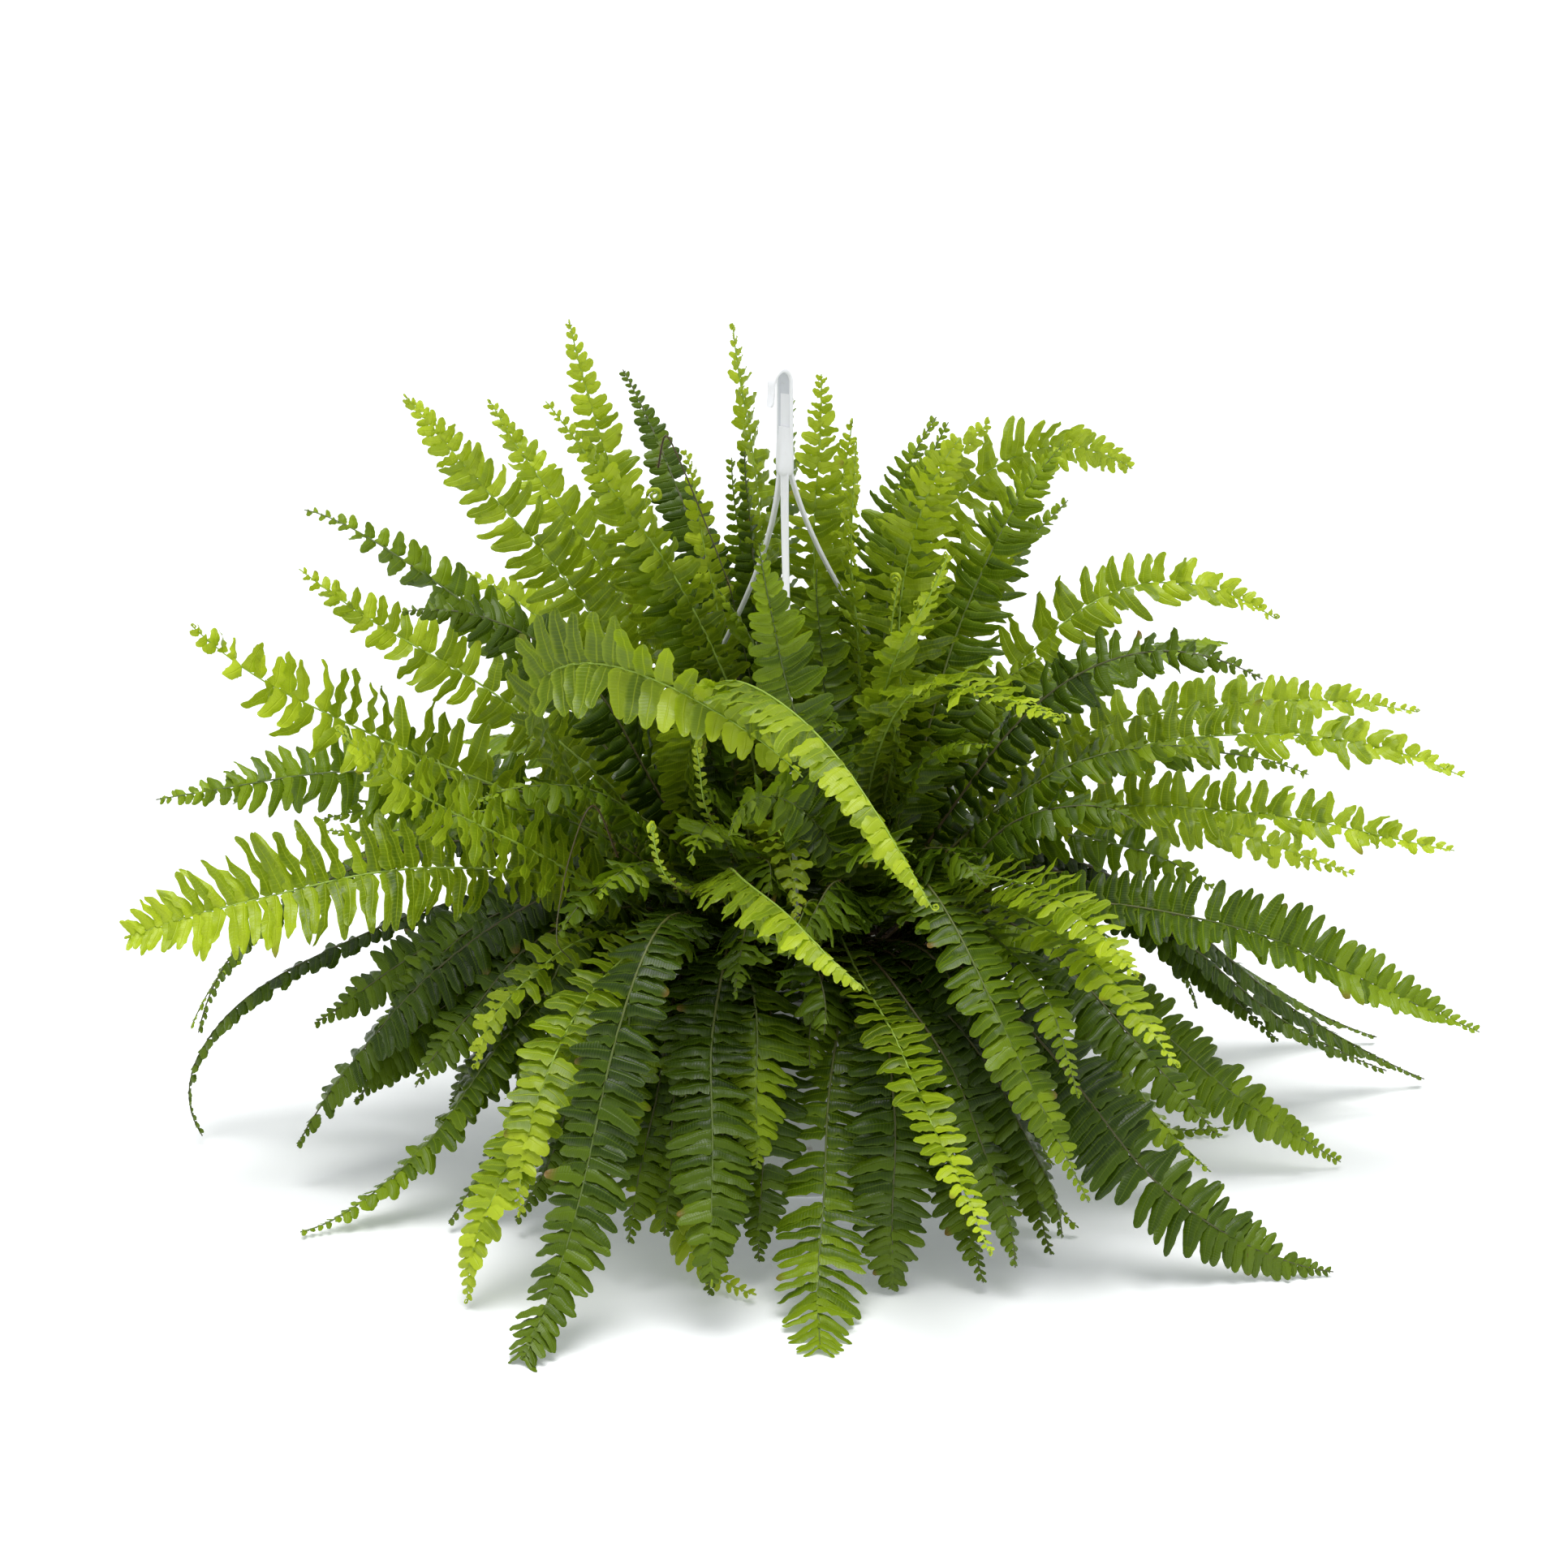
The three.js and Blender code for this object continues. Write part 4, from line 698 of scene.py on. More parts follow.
class Skin:
    # gathers corners, faces and their values, and makes one mesh of them
    def __init__(self):
        self.points, self.faces, self.slots, self.values = [], [], [], []
        self.count = 0

    def add(self, points, faceSets, slot, values):
        # values holds along, across, reach and draw for each corner
        self.points.append(points)
        self.values.append(values)
        for faces in faceSets:
            self.faces.append(faces + self.count)
            self.slots.append(np.full(len(faces), slot))
        self.count += len(points)

    def mesh(self, name, materials):
        points = np.concatenate(self.points) * mm
        corners = np.concatenate([faces.reshape(-1) for faces in self.faces])
        sizes = np.concatenate([np.full(len(faces), faces.shape[1]) for faces in self.faces])
        starts = np.concatenate([[0], np.cumsum(sizes)[:-1]])
        data = bpy.data.meshes.new(name)
        data.vertices.add(len(points))
        data.vertices.foreach_set("co", points.astype(np.float32).reshape(-1))
        data.loops.add(len(corners))
        data.loops.foreach_set("vertex_index", corners.astype(np.int32))
        data.polygons.add(len(sizes))
        data.polygons.foreach_set("loop_start", starts.astype(np.int32))
        data.polygons.foreach_set("material_index", np.concatenate(self.slots).astype(np.int32))
        data.polygons.foreach_set("use_smooth", np.ones(len(sizes), bool))
        values = np.concatenate(self.values)
        for k, label in enumerate(("leafAlong", "leafAcross", "frondReach", "leafDraw")):
            layer = data.attributes.new(label, "FLOAT", "POINT")
            layer.data.foreach_set("value", values[:, k].astype(np.float32))
        for material in materials:
            data.materials.append(material)
        data.update(calc_edges=True)
        data.validate()
        return data


def leafletFaces(rows):
    # quads between the rows of corners, and a fan to the tip
    width = len(leafletForm["columns"])
    quads = []
    for j in range(rows - 1):
        for k in range(width - 1):
            a = j * width + k
            quads.append((a, a + 1, a + 1 + width, a + width))
    last = (rows - 1) * width
    tip = rows * width
    fan = [(last + k, last + k + 1, tip) for k in range(width - 1)]
    return np.array(quads), np.array(fan)


def leafletShape(length, breadth, habit, rows, dice):
    # along, across and off the blade for every corner, and for one more row, whose middle is the tip
    form = leafletForm
    t = 0.5 * (1 - np.cos(math.pi * np.arange(rows + 1) / rows))[None, :, None]
    c = np.array(form["columns"])[None, None, :]
    draw = dice.random((len(length), 8))[:, :, None, None]
    size = length[:, None, None]

    def ranged(key, number, uneven=1):
        # a value of the form, with its own draw for each leaflet
        least, more = form[key]
        return least + more * draw[:, number] * uneven

    # outline: narrow stalk, ear on the side toward the frond's tip, small teeth, blunt end
    blunt = np.sqrt(np.maximum(0, 1 - t ** ranged("end", 6)))
    blunt = blunt * (1 - ranged("narrowing", 7) * t)
    narrow, until = form["stalk"]
    stalk = narrow + (1 - narrow) * np.clip(t / until, 0, 1) ** 0.7
    ear = 1 + np.where(c > 0, *form["ears"]) * np.exp(-((t - form["earPlace"]) / form["earPlace"]) ** 2)
    zigzag = np.where(np.arange(rows + 1) % 2, 1, -1)[None, :, None]
    teeth = 1 + np.where(np.abs(c) > 0.9, form["teeth"], 0.0) * zigzag
    half = breadth[:, None, None] / 2 * blunt * stalk * ear * teeth
    middle = size * ranged("bend", 1, habit["uneven"]) * t ** 2
    depth, count = form["meander"]
    middle = middle + size * depth * habit["uneven"] * np.sin(fullTurn * (count * t + draw[:, 5])) * t
    x = size * t * (1 - 0.05 * draw[:, 0])
    z = -size * habit["curl"] * ranged("curls", 2) * t ** 2.2
    # the blade rolls along its length, and its edges wave more than its midrib
    z = z + size * habit["ripple"] * np.sin(fullTurn * (ranged("ripples", 5) * t + draw[:, 6])) * t
    swing = np.abs(c) ** 1.4 * size * habit["wave"] * np.minimum(1, t * 5) * (1 - 0.35 * t)
    waves = fullTurn * (ranged("waves", 3) * t + draw[:, 4]) + np.where(c > 0, form["waveOffset"], 0)
    z = z + swing * np.sin(waves)
    z = z - (habit["camber"] + form["camberSpread"] * (draw[:, 7] - 0.5)) * half * c ** 2
    # puckers between the veins
    depth, count = form["pucker"]
    z = z + size * depth * np.sin(fullTurn * count * t + 5 * draw[:, 4]) * (1 - np.abs(c))
    # the blade twists about its midrib toward the tip
    twist = np.radians(habit["twist"]) * (dice.standard_normal(len(length))[:, None, None] * t)
    offMidrib = half * c
    across = middle + offMidrib * np.cos(twist) - z * np.sin(twist)
    return t, x + 0 * c, across, z * np.cos(twist) + offMidrib * np.sin(twist)


def addLeaflets(skin, base, along, outward, hand, length, breadth, reach, habit, slot, rows, dice):
    # base: where each leaflet joins the rib; outward: the way it grows; hand: +1 left, -1 right of the rib
    count = len(base)
    t, x, y, z = leafletShape(length, breadth, habit, rows, dice)
    forward = unit(along - outward * np.sum(along * outward, 1, keepdims=True))
    normal = np.cross(forward, outward) * hand
    rollSpread = rowForm["rollSpread"] * habit["uneven"]
    roll = np.radians(habit["roll"] + rollSpread * dice.standard_normal(count))[:, None]
    edgeway = forward * np.cos(roll) + normal * np.sin(roll)
    normal = normal * np.cos(roll) - forward * np.sin(roll)
    place = (base[:, None, None, :] + outward[:, None, None, :] * x[..., None]
             + edgeway[:, None, None, :] * y[..., None] + normal[:, None, None, :] * z[..., None])
    tips = place[:, rows, 2][:, None, :]
    corners = np.concatenate([place[:, :rows].reshape(count, -1, 3), tips], 1)
    corners[..., 2] = np.maximum(corners[..., 2], frondForm["floorGap"])
    columns = leafletForm["columns"]
    each = corners.shape[1]
    values = np.empty((count, each, 4))
    values[:, :-1, 0] = np.broadcast_to(t[0, :rows], (rows, len(columns))).reshape(-1)
    values[:, -1, 0] = 1
    values[:, :-1, 1] = np.tile(columns, rows)
    values[:, -1, 1] = 0
    values[:, :, 2] = reach[:, None]
    values[:, :, 3] = dice.random(count)[:, None]
    starts = np.arange(count)[:, None, None] * each
    faceSets = []
    for faces in leafletFaces(rows):
        turned = faces if hand > 0 else faces[:, ::-1]
        faceSets.append((turned[None] + starts).reshape(-1, faces.shape[1]))
    skin.add(corners.reshape(-1, 3), faceSets, slot, values.reshape(-1, 4))


def addTube(skin, points, sides, ups, widths, slot, reach):
    # a closed tube through the points, with its own width at each of them
    count, ring = len(points), frondForm["ribSides"]
    angle = fullTurn * np.arange(ring) / ring
    spread = sides[:, None, :] * np.cos(angle)[None, :, None] + ups[:, None, :] * np.sin(angle)[None, :, None]
    corners = (points[:, None, :] + spread * widths[:, None, None]).reshape(-1, 3)
    corners = np.concatenate([corners, points[:1], points[-1:]])
    corners[:, 2] = np.maximum(corners[:, 2], frondForm["floorGap"])
    k = np.arange(ring)
    n = (k + 1) % ring
    rings = np.arange(count - 1)[:, None] * ring
    quads = np.stack([rings + k, rings + n, rings + ring + n, rings + ring + k], 2).reshape(-1, 4)
    top = (count - 1) * ring
    foot = np.stack([n, k, np.full(ring, count * ring)], 1)
    head = np.stack([top + k, top + n, np.full(ring, count * ring + 1)], 1)
    values = np.zeros((len(corners), 4))
    values[:-2, 2] = np.repeat(reach, ring)
    values[-2:, 2] = reach[0], reach[-1]
    values[:, 3] = 0.5
    skin.add(corners, [quads, np.concatenate([foot, head])], slot, values)


def addScales(skin, arch, slot, count, dice):
    # short brown scales that stand off the lower rib
    form = scaleForm
    s = dice.random(count) ** form["crowding"] * form["upTo"]
    at, along = sampled(arch, s, "points"), sampled(arch, s, "along")
    side, up = sampled(arch, s, "sides"), sampled(arch, s, "ups")
    turn = dice.uniform(0, fullTurn, count)[:, None]
    forward = dice.uniform(*form["forward"], count)[:, None]
    out = unit(side * np.cos(turn) + up * np.sin(turn) + along * forward)
    across = unit(np.cross(out, along)) * form["half"]
    size = dice.uniform(*form["length"], count)[:, None]
    start = at + out * form["off"]
    corners = np.stack([start - across, start + across, start + out * size], 1).reshape(-1, 3)
    skin.add(corners, [np.arange(count * 3).reshape(-1, 3)], slot, np.zeros((count * 3, 4)))


def addKnob(skin, arch, slot, size, dice):
    # the tip still rolled up, as on a growing frond
    form = knobForm
    turn = np.linspace(0, form["turns"] * fullTurn, form["steps"])
    radius = size * (1 - form["tightening"] * turn / turn[-1])
    tip, along, up, side = (arch[key][-1] for key in ("points", "along", "ups", "sides"))
    centre = tip + up * size
    points = (centre + along * (radius * np.sin(turn))[:, None] - up * (radius * np.cos(turn))[:, None]
              + side * np.linspace(0, form["sideways"], len(turn))[:, None])
    direction = unit(np.gradient(points, axis=0))
    sides = np.broadcast_to(side, points.shape)
    depth, count = form["lumps"]
    lumps = 1 + depth * np.sin(turn * count + dice.uniform(0, 6))
    widths = size * form["thickness"] * lumps * (1 - form["thinning"] * turn / turn[-1])
    addTube(skin, points, sides, np.cross(direction, sides), widths, slot, np.ones(len(turn)))


def addLeafRow(skin, frond, arch, hand, habit, slot, dice):
    # the leaflets on one side of the rib
    form, rib = rowForm, frondForm
    uneven = habit["uneven"]
    leafy = arch["length"] * (1 - rib["leafyFrom"])
    pairs = max(form["fewest"], round(leafy / habit["spacing"]))
    jitter = dice.uniform(-form["jitter"], form["jitter"], pairs) * uneven
    v = np.clip((np.arange(pairs) + 0.5 + form["shift"] * hand + jitter) / pairs, 0, 1)
    u = 1 - (1 - v) ** form["crowding"]
    start, span, bend = habit["taper"]
    length = frond["leaflet"] * np.sin(math.pi * (start + span * u ** bend))
    length = length * dice.uniform(*form["lengths"], pairs)
    length = np.maximum(length * habit["stretch"], rib["shortestLeaflet"])
    kept = dice.random(pairs) > rib["missing"]
    u, v, length = u[kept], v[kept], length[kept]
    count = len(u)
    s = mix((rib["leafyFrom"], rib["lastLeafletShare"]), u)
    at, along, side, up = (sampled(arch, s, key) for key in ("points", "along", "sides", "ups"))
    along, side, up = unit(along), unit(side), unit(up)
    atFoot, evenly, late = form["lean"]
    lean = atFoot + evenly * u + late * u ** 5 + form["leanSpread"] * uneven * dice.standard_normal(count)
    lean = np.radians(lean)[:, None]
    droop = habit["droop"] + form["droopSpread"] * uneven * dice.standard_normal(count)
    droop = np.radians(droop)[:, None]
    outward = side * hand * np.cos(lean) + along * np.sin(lean)
    outward = unit(outward * np.cos(droop) - up * np.sin(droop))
    # the gap to the next leaflet shrinks toward the tip, where they are also broader for their length
    gap = leafy / pairs * form["crowding"] * (1 - v) ** (form["crowding"] - 1)
    broadest, more = form["broadest"]
    breadth = np.minimum(gap * habit["breadth"], length * (broadest + more * u ** 4))
    breadth = breadth * dice.uniform(*form["breadths"], count)
    detail = "plain" if frond["name"].startswith(leafletForm["plainGroups"]) else "fine"
    addLeaflets(skin, at + up * form["lift"], along, outward, hand, length, breadth, u, habit, slot,
                leafletForm["rows"][detail], dice)


def addFrond(skin, frond, root, slots, dice):
    form = frondForm
    group = groupHabits.get(frond["name"].split("_")[0], {})
    habit = {**leafHabits[frond["age"]], **group, **ownHabits.get(frond["name"], {})}
    arch = archOf(frond, root, dice)
    for hand in (1.0, -1.0):
        addLeafRow(skin, frond, arch, hand, habit, slots[habit.get("tone", frond["age"])], dice)
    # the rib goes on straight down into the soil
    below = np.array([[root[0], root[1], form["soilLevel"] - form["holeDepth"] + 1]])
    width = mix(form["ribWidths"], arch["share"])
    addTube(
        skin, np.concatenate([below, arch["points"]]), np.concatenate([arch["sides"][:1], arch["sides"]]),
        np.concatenate([arch["ups"][:1], arch["ups"]]), np.concatenate([width[:1] * form["ribFoot"], width]),
        slots[frond["age"] + "Rib"], np.concatenate([[0], arch["share"]]),
    )
    addScales(skin, arch, slots["hair"], form["ribHairs"], dice)
    if dice.random() < habit["knob"]:
        addKnob(skin, arch, slots[frond["age"]], dice.uniform(*form["knobSize"]), dice)


finishOrder = ["young", "youngRib", "grown", "grownRib", "old", "oldRib", "hair"]
finishSlots = {name: k for k, name in enumerate(finishOrder)}
crowns = leadCrowns() + backCrowns()
corners = 0
for number, crown in enumerate(crowns):
    skin = Skin()
    root = rootOf(crown[0])
    for k, frond in enumerate(crown):
        seed = seeds["crowns"] + seeds["crownStep"] * number + k
        addFrond(skin, frond, root, finishSlots, np.random.default_rng(seed))
    corners += skin.count
    node = f"fronds_{crown[0]['name']}"
    name = node.replace("fronds_", "fern_")
    piece = bpy.data.objects.new(name, skin.mesh(name, [finishes[f] for f in finishOrder]))
    scene.collection.objects.link(piece)
    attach(piece, "root")
    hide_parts(node)
    crown[0]["age"] + "_frond"
print("fronds made:", sum(len(crown) for crown in crowns), "corners:", corners)

# The hanging pot: sizes follow the solids, which are finished here with rolled edges and round corners.
potForm = {
    "height": 170.0, "rimRadius": 125.0, "baseRadius": 88.0, "wall": 2.4, "floor": 3.0, "rimBand": 16.0,
    "rimStep": 3.0, "rimBead": (4.0, 6.0, 0.3), "rounding": 1.1, "footInset": 9.0, "footRecess": 1.6,
    "footEdge": 2.0, "axisHole": 0.05, "segments": 120,
}
grooveForm = {"count": 3, "first": 14.0, "step": 9.0, "half": 1.6, "depth": 0.7, "lip": 0.15}
lugForm = {
    "reach": 12.0, "half": 9.0, "thickness": 4.0, "level": 158.0, "corner": 3.5, "edge": 0.5,
    "slotInset": 6.0, "slotHalf": (2.4, 3.2), "slotCorner": 1.2,
}
hangerForm = {
    "top": 547.0, "centre": (-12.5, 6.0), "bearing": 240.0, "radius": 8.5, "mouthDrop": 14.0, "flare": 2.5,
    "widths": (5.0, 12.0), "thickness": 3.0, "recess": 1.9, "steps": (9, 27, 14), "shade": (4.0, 18.0),
    "hubTop": 506.0, "hubFoot": 474.0, "hubHalfDepth": 6.0, "hubRidge": 0.22, "hubRadius": 6.0,
    "hubSole": ((0.0, 0.84, 0.80), (1.2, 0.94, 0.94)), "hubBody": 3.0, "hubSteps": 10, "hubCorner": 0.7,
    "legBearings": (-92.0, 28.0, 148.0), "legWidths": (5.6, 3.6), "legThickness": 2.4,
    "legPulls": (0.35, 0.4), "legSplays": (0.02, 0.26, 0.08), "legSteps": 44, "legRecess": (0.5, 0.8),
    "footHalf": 6.5, "footHeight": 3.0, "footGap": 0.4,
}
# squareness of a strap's section, its channel's half share of the width and how steep its walls are, and
# the faces of a section of 28 corners that lie in the channel, walls first
strapForm = {"square": 0.42, "channel": 0.34, "steep": 6, "corners": 28, "walls": (19, 22), "bed": (20, 21)}


class Shell:
    # gathers the corners and faces of a rigid piece
    def __init__(self):
        self.points, self.faces, self.slots = [], [], []

    def add(self, points, faces, slot=0):
        start = len(self.points)
        self.points.extend(tuple(p) for p in points)
        self.faces.extend(tuple(start + k for k in face) for face in faces)
        self.slots.extend([slot] * len(faces))

    def loft(self, loops, closed=False):
        # skin through loops of equally many corners, with both ends filled unless it closes on itself
        size = len(loops[0])
        faces = []
        for i in range(len(loops) if closed else len(loops) - 1):
            a, b = i * size, (i + 1) % len(loops) * size
            for k in range(size):
                n = (k + 1) % size
                faces.append((a + k, a + n, b + n, b + k))
        if not closed:
            faces.append(tuple(reversed(range(size))))
            faces.append(tuple(range((len(loops) - 1) * size, len(loops) * size)))
        self.add([p for loop in loops for p in loop], faces)

    def piece(self, name, materials, node, crease=38):
        data = bpy.data.meshes.new(name)
        data.from_pydata([tuple(v * mm for v in p) for p in self.points], [], self.faces)
        for material in materials:
            data.materials.append(finishes[material])
        data.polygons.foreach_set("material_index", self.slots)
        data.polygons.foreach_set("use_smooth", [True] * len(self.faces))
        data.validate()
        data.set_sharp_from_angle(angle=math.radians(crease))
        made = bpy.data.objects.new(name, data)
        scene.collection.objects.link(made)
        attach(made, "root")
        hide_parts(node)


def ringOf(radius, z, segments):
    turns = [fullTurn * k / segments for k in range(segments)]
    return [(radius * math.cos(turn), radius * math.sin(turn), z) for turn in turns]


def spun(profile, segments):
    # loops of a turned body, one for each segment
    rings = [ringOf(r, z, segments) for r, z in profile]
    return [list(loop) for loop in zip(*rings)]


def rounded(profile, radius, steps=3):
    # a closed outline with its corners rounded off
    out = []
    count = len(profile)
    for k in range(count):
        before, here, after = (np.array(profile[(k + d) % count], float) for d in (-1, 0, 1))
        toBefore, toAfter = before - here, after - here
        reach = min(radius, 0.45 * np.linalg.norm(toBefore), 0.45 * np.linalg.norm(toAfter))
        first = here + toBefore / np.linalg.norm(toBefore) * reach
        last = here + toAfter / np.linalg.norm(toAfter) * reach
        for i in range(steps + 1):
            t = i / steps
            out.append(tuple((1 - t) ** 2 * first + 2 * (1 - t) * t * here + t * t * last))
    return out


def plate(x, half, wide, corner):
    # a rectangle's outline from x to x + wide with round corners
    return rounded([(x, -half), (x + wide, -half), (x + wide, half), (x, half)], corner, 6)


def makePot():
    f, groove = potForm, grooveForm
    shell = Shell()
    rimFoot = f["height"] - f["rimBand"]
    inner = f["rimRadius"] - f["wall"]
    wallTop = f["rimRadius"] - f["rimStep"]
    footRing = f["baseRadius"] - f["footInset"]
    edge = f["footEdge"]
    profile = [
        (f["axisHole"], f["footRecess"]), (footRing - edge, f["footRecess"]), (footRing, 0),
        (f["baseRadius"] - edge, 0), (f["baseRadius"], edge),
    ]
    # shallow grooves round the wall under the rim
    for k in reversed(range(groove["count"])):
        z = rimFoot - groove["first"] - groove["step"] * k
        r = f["baseRadius"] + (wallTop - f["baseRadius"]) * (z - edge) / (rimFoot - edge)
        half, lip = groove["half"], groove["lip"]
        profile += [(r - lip, z - half), (r - groove["depth"], z), (r + lip, z + half)]
    beadTop, beadFoot, beadStep = f["rimBead"]
    profile += [
        (wallTop, rimFoot), (f["rimRadius"], rimFoot), (f["rimRadius"] - beadStep, f["height"] - beadFoot),
        (f["rimRadius"], f["height"] - beadTop), (f["rimRadius"], f["height"]), (inner, f["height"]),
        (inner - f["rimStep"], rimFoot), (f["baseRadius"] - f["wall"], f["floor"]),
        (f["axisHole"], f["floor"]),
    ]
    shell.loft(spun(rounded(profile, f["rounding"]), f["segments"]), closed=True)
    for bearing in hangerForm["legBearings"]:
        addLug(shell, bearing)
    shell.piece("hanging_pot", ["pot"], "pot")


def addLug(shell, bearing):
    # a plate with round corners and a slot for the leg's foot
    f = lugForm
    outline = plate(potForm["rimRadius"] - potForm["rimStep"], f["half"], potForm["rimStep"] + f["reach"],
                    f["corner"])
    wide, long = f["slotHalf"]
    slot = plate(potForm["rimRadius"] + f["slotInset"] - wide, long, 2 * wide, f["slotCorner"])
    cos, sin = math.cos(math.radians(bearing)), math.sin(math.radians(bearing))
    low, high = f["level"] - f["thickness"] / 2, f["level"] + f["thickness"] / 2
    edge = f["edge"]

    def placed(loop, z, grow=0.0):
        # the outline at its height and bearing, drawn in or out for a bevel
        middle = sum(p[0] for p in loop) / len(loop)
        out = []
        for point in loop:
            away = np.array([point[0] - middle, point[1]])
            x, y = np.array(point) + away / max(np.linalg.norm(away), 1e-6) * grow
            out.append((x * cos - y * sin, x * sin + y * cos, z))
        return out

    shell.loft([
        placed(outline, low, -edge), placed(outline, low + edge), placed(outline, high - edge),
        placed(outline, high, -edge), placed(slot, high, edge), placed(slot, high - edge),
        placed(slot, low + edge), placed(slot, low, edge),
    ], closed=True)


def strapSection(width, thickness, recess, count):
    # a flat section with round edges and a shallow channel down one face
    form = strapForm
    out = []
    for k in range(count):
        cos, sin = math.cos(fullTurn * k / count), math.sin(fullTurn * k / count)
        a = math.copysign(abs(cos) ** form["square"], cos) * width / 2
        b = math.copysign(abs(sin) ** form["square"], sin) * thickness / 2
        if b < 0:
            b += recess * max(0.0, 1 - (abs(a) / (width * form["channel"])) ** form["steep"])
        out.append((a, b))
    return out


def sweep(shell, points, across, sections):
    # a bar through the points, each with its own section; across gives the direction of the width
    points = np.array(points, float)
    loops = []
    for p, along, section in zip(points, unit(np.gradient(points, axis=0)), sections):
        side = unit(across - along * across.dot(along))
        out = np.cross(along, side)
        loops.append([p + side * a + out * b for a, b in section])
    shell.loft(loops)


def hookLine():
    # from the mouth up the free arm, over the arc and down the stem into the hub, with the strap's width
    f = hangerForm
    axis = np.array([*f["centre"], 0.0])
    toMouth = pointing(f["bearing"], 0)
    arcLevel = f["top"] - f["thickness"] / 2 - f["radius"]
    armSteps, arcSteps, stemSteps = f["steps"]
    line, widths = [], []

    def put(reach, z, width):
        line.append(axis + toMouth * reach + np.array([0, 0, z]))
        widths.append(width)

    for t in np.linspace(0, 1, armSteps)[:-1]:
        narrowing = 0.5 + 0.5 * min(1, 6 * t + 0.2)
        put(2 * f["radius"] + f["flare"] * (1 - t) ** 2, arcLevel - f["mouthDrop"] * (1 - t),
            f["widths"][0] * narrowing)
    for t in np.linspace(0, 1, arcSteps):
        angle = math.pi * t
        put(f["radius"] * (1 + math.cos(angle)), arcLevel + f["radius"] * math.sin(angle),
            mix(f["widths"], t))
    for t in np.linspace(0, 1, stemSteps)[1:]:
        put(0, mix((arcLevel, f["hubFoot"] + 4), t), f["widths"][1])
    return line, widths


def makeHanger():
    f = hangerForm
    shell = Shell()
    line, widths = hookLine()
    size = strapForm["corners"]
    sweep(shell, line, pointing(f["bearing"] - 90, 0),
          [strapSection(width, f["thickness"], f["recess"], size) for width in widths])
    # the channel's walls, and its bed under the arc, take the greyer channel plastic: painted shade for the
    # shade in the channel and under the arc
    high, low = (f["top"] - drop for drop in f["shade"])
    for i, point in enumerate(line[:-1]):
        paintedShadeFaces = strapForm["walls"] + (strapForm["bed"] if low < point[2] < high else ())
        for k in paintedShadeFaces:
            shell.slots[i * size + k] = 1
    addHub(shell)
    for bearing, splay in zip(f["legBearings"], f["legSplays"]):
        addLeg(shell, bearing, splay)
    shell.piece("pot_hanger", ["hanger", "channel"], "hanger")


def addHub(shell):
    # the stem deepens to a ridge on either face, above the three legs
    f = hangerForm
    axis = np.array([*f["centre"], 0.0])
    toMouth, across = pointing(f["bearing"], 0), pointing(f["bearing"] - 90, 0)
    levels = [(f["hubFoot"] + z, wide, deep) for z, wide, deep in f["hubSole"]]
    for t in np.linspace(0, 1, f["hubSteps"]):
        z = mix((f["hubFoot"] + f["hubBody"], f["hubTop"]), t)
        levels.append((z, 1.0, (1 - t) ** 1.3 + 0.27 * t))
    loops = []
    for z, wide, deep in levels:
        half, depth = f["widths"][1] / 2 * wide + 0.15, f["hubHalfDepth"] * deep
        ridge = half * f["hubRidge"]
        thin = f["thickness"] / 2 * min(1, deep + 0.2) - 0.1
        outline = [(-half, -thin), (-ridge, -depth), (ridge, -depth), (half, -thin)]
        outline += [(-a, -b) for a, b in outline]
        level = axis + np.array([0, 0, z])
        loops.append([level + across * a + toMouth * b for a, b in rounded(outline, f["hubCorner"], 2)])
    shell.loft(loops)


def addLeg(shell, bearing, splay):
    # from the hub out and down to the lug, a little deeper in its channel at the top
    f = hangerForm
    outward = pointing(bearing, 0)
    start = np.array([*f["centre"], f["hubFoot"] + f["legThickness"]])
    start = start + outward * (f["hubRadius"] - f["legThickness"])
    end = outward * (potForm["rimRadius"] + lugForm["slotInset"])
    end[2] = lugForm["level"] - lugForm["thickness"] / 2 - f["footGap"] - f["footHeight"] / 2
    drop = start[2] - end[2]
    pullTop, pullFoot = f["legPulls"]
    first = start + np.array([0, 0, -drop]) * pullTop + outward * drop * pullTop * splay
    points = bezier(start, first, end + np.array([0, 0, drop]) * pullFoot, end, f["legSteps"])
    sections = []
    for s in np.linspace(0, 1, f["legSteps"]):
        plain, deeper = f["legRecess"]
        recess = plain + deeper * math.exp(-((s - 0.05) / 0.02) ** 2)
        sections.append(strapSection(mix(f["legWidths"], min(1, 2 * s)), f["legThickness"], recess, 18))
    sweep(shell, points, pointing(bearing - 90, 0), sections)
    # the bar at the leg's end that catches under the lug
    tangent = pointing(bearing + 90, 0)
    bar = strapSection(f["legThickness"], f["footHeight"], 0, 16)
    points, sections = [], []
    for s in np.linspace(-1, 1, 15):
        size = math.sqrt(max(0.06, 1 - abs(s) ** 6))
        points.append(end + tangent * (f["footHalf"] * s))
        sections.append([(a * size, b * size) for a, b in bar])
    sweep(shell, points, outward, sections)


# sets of waves on the top (size, depth and count), heaps round the crowns, and what is mixed in
soilForm = {
    "gap": 0.6, "rings": 44, "segments": 150, "seed": 77, "crumb": 1.6, "grit": 0.35, "axisHole": 0.3,
    "waves": ((0.06, 1.0, 5), (0.25, 0.6, 8), (0.9, 0.35, 10)), "waveShare": 0.33, "heap": 2.2,
    "heapSpread": 60, "chips": 320, "sunk": 1.2, "perlite": (1.2, 2.2), "bark": (1.0, 4.2),
    "barkShape": (1, 0.55, 0.22),
}


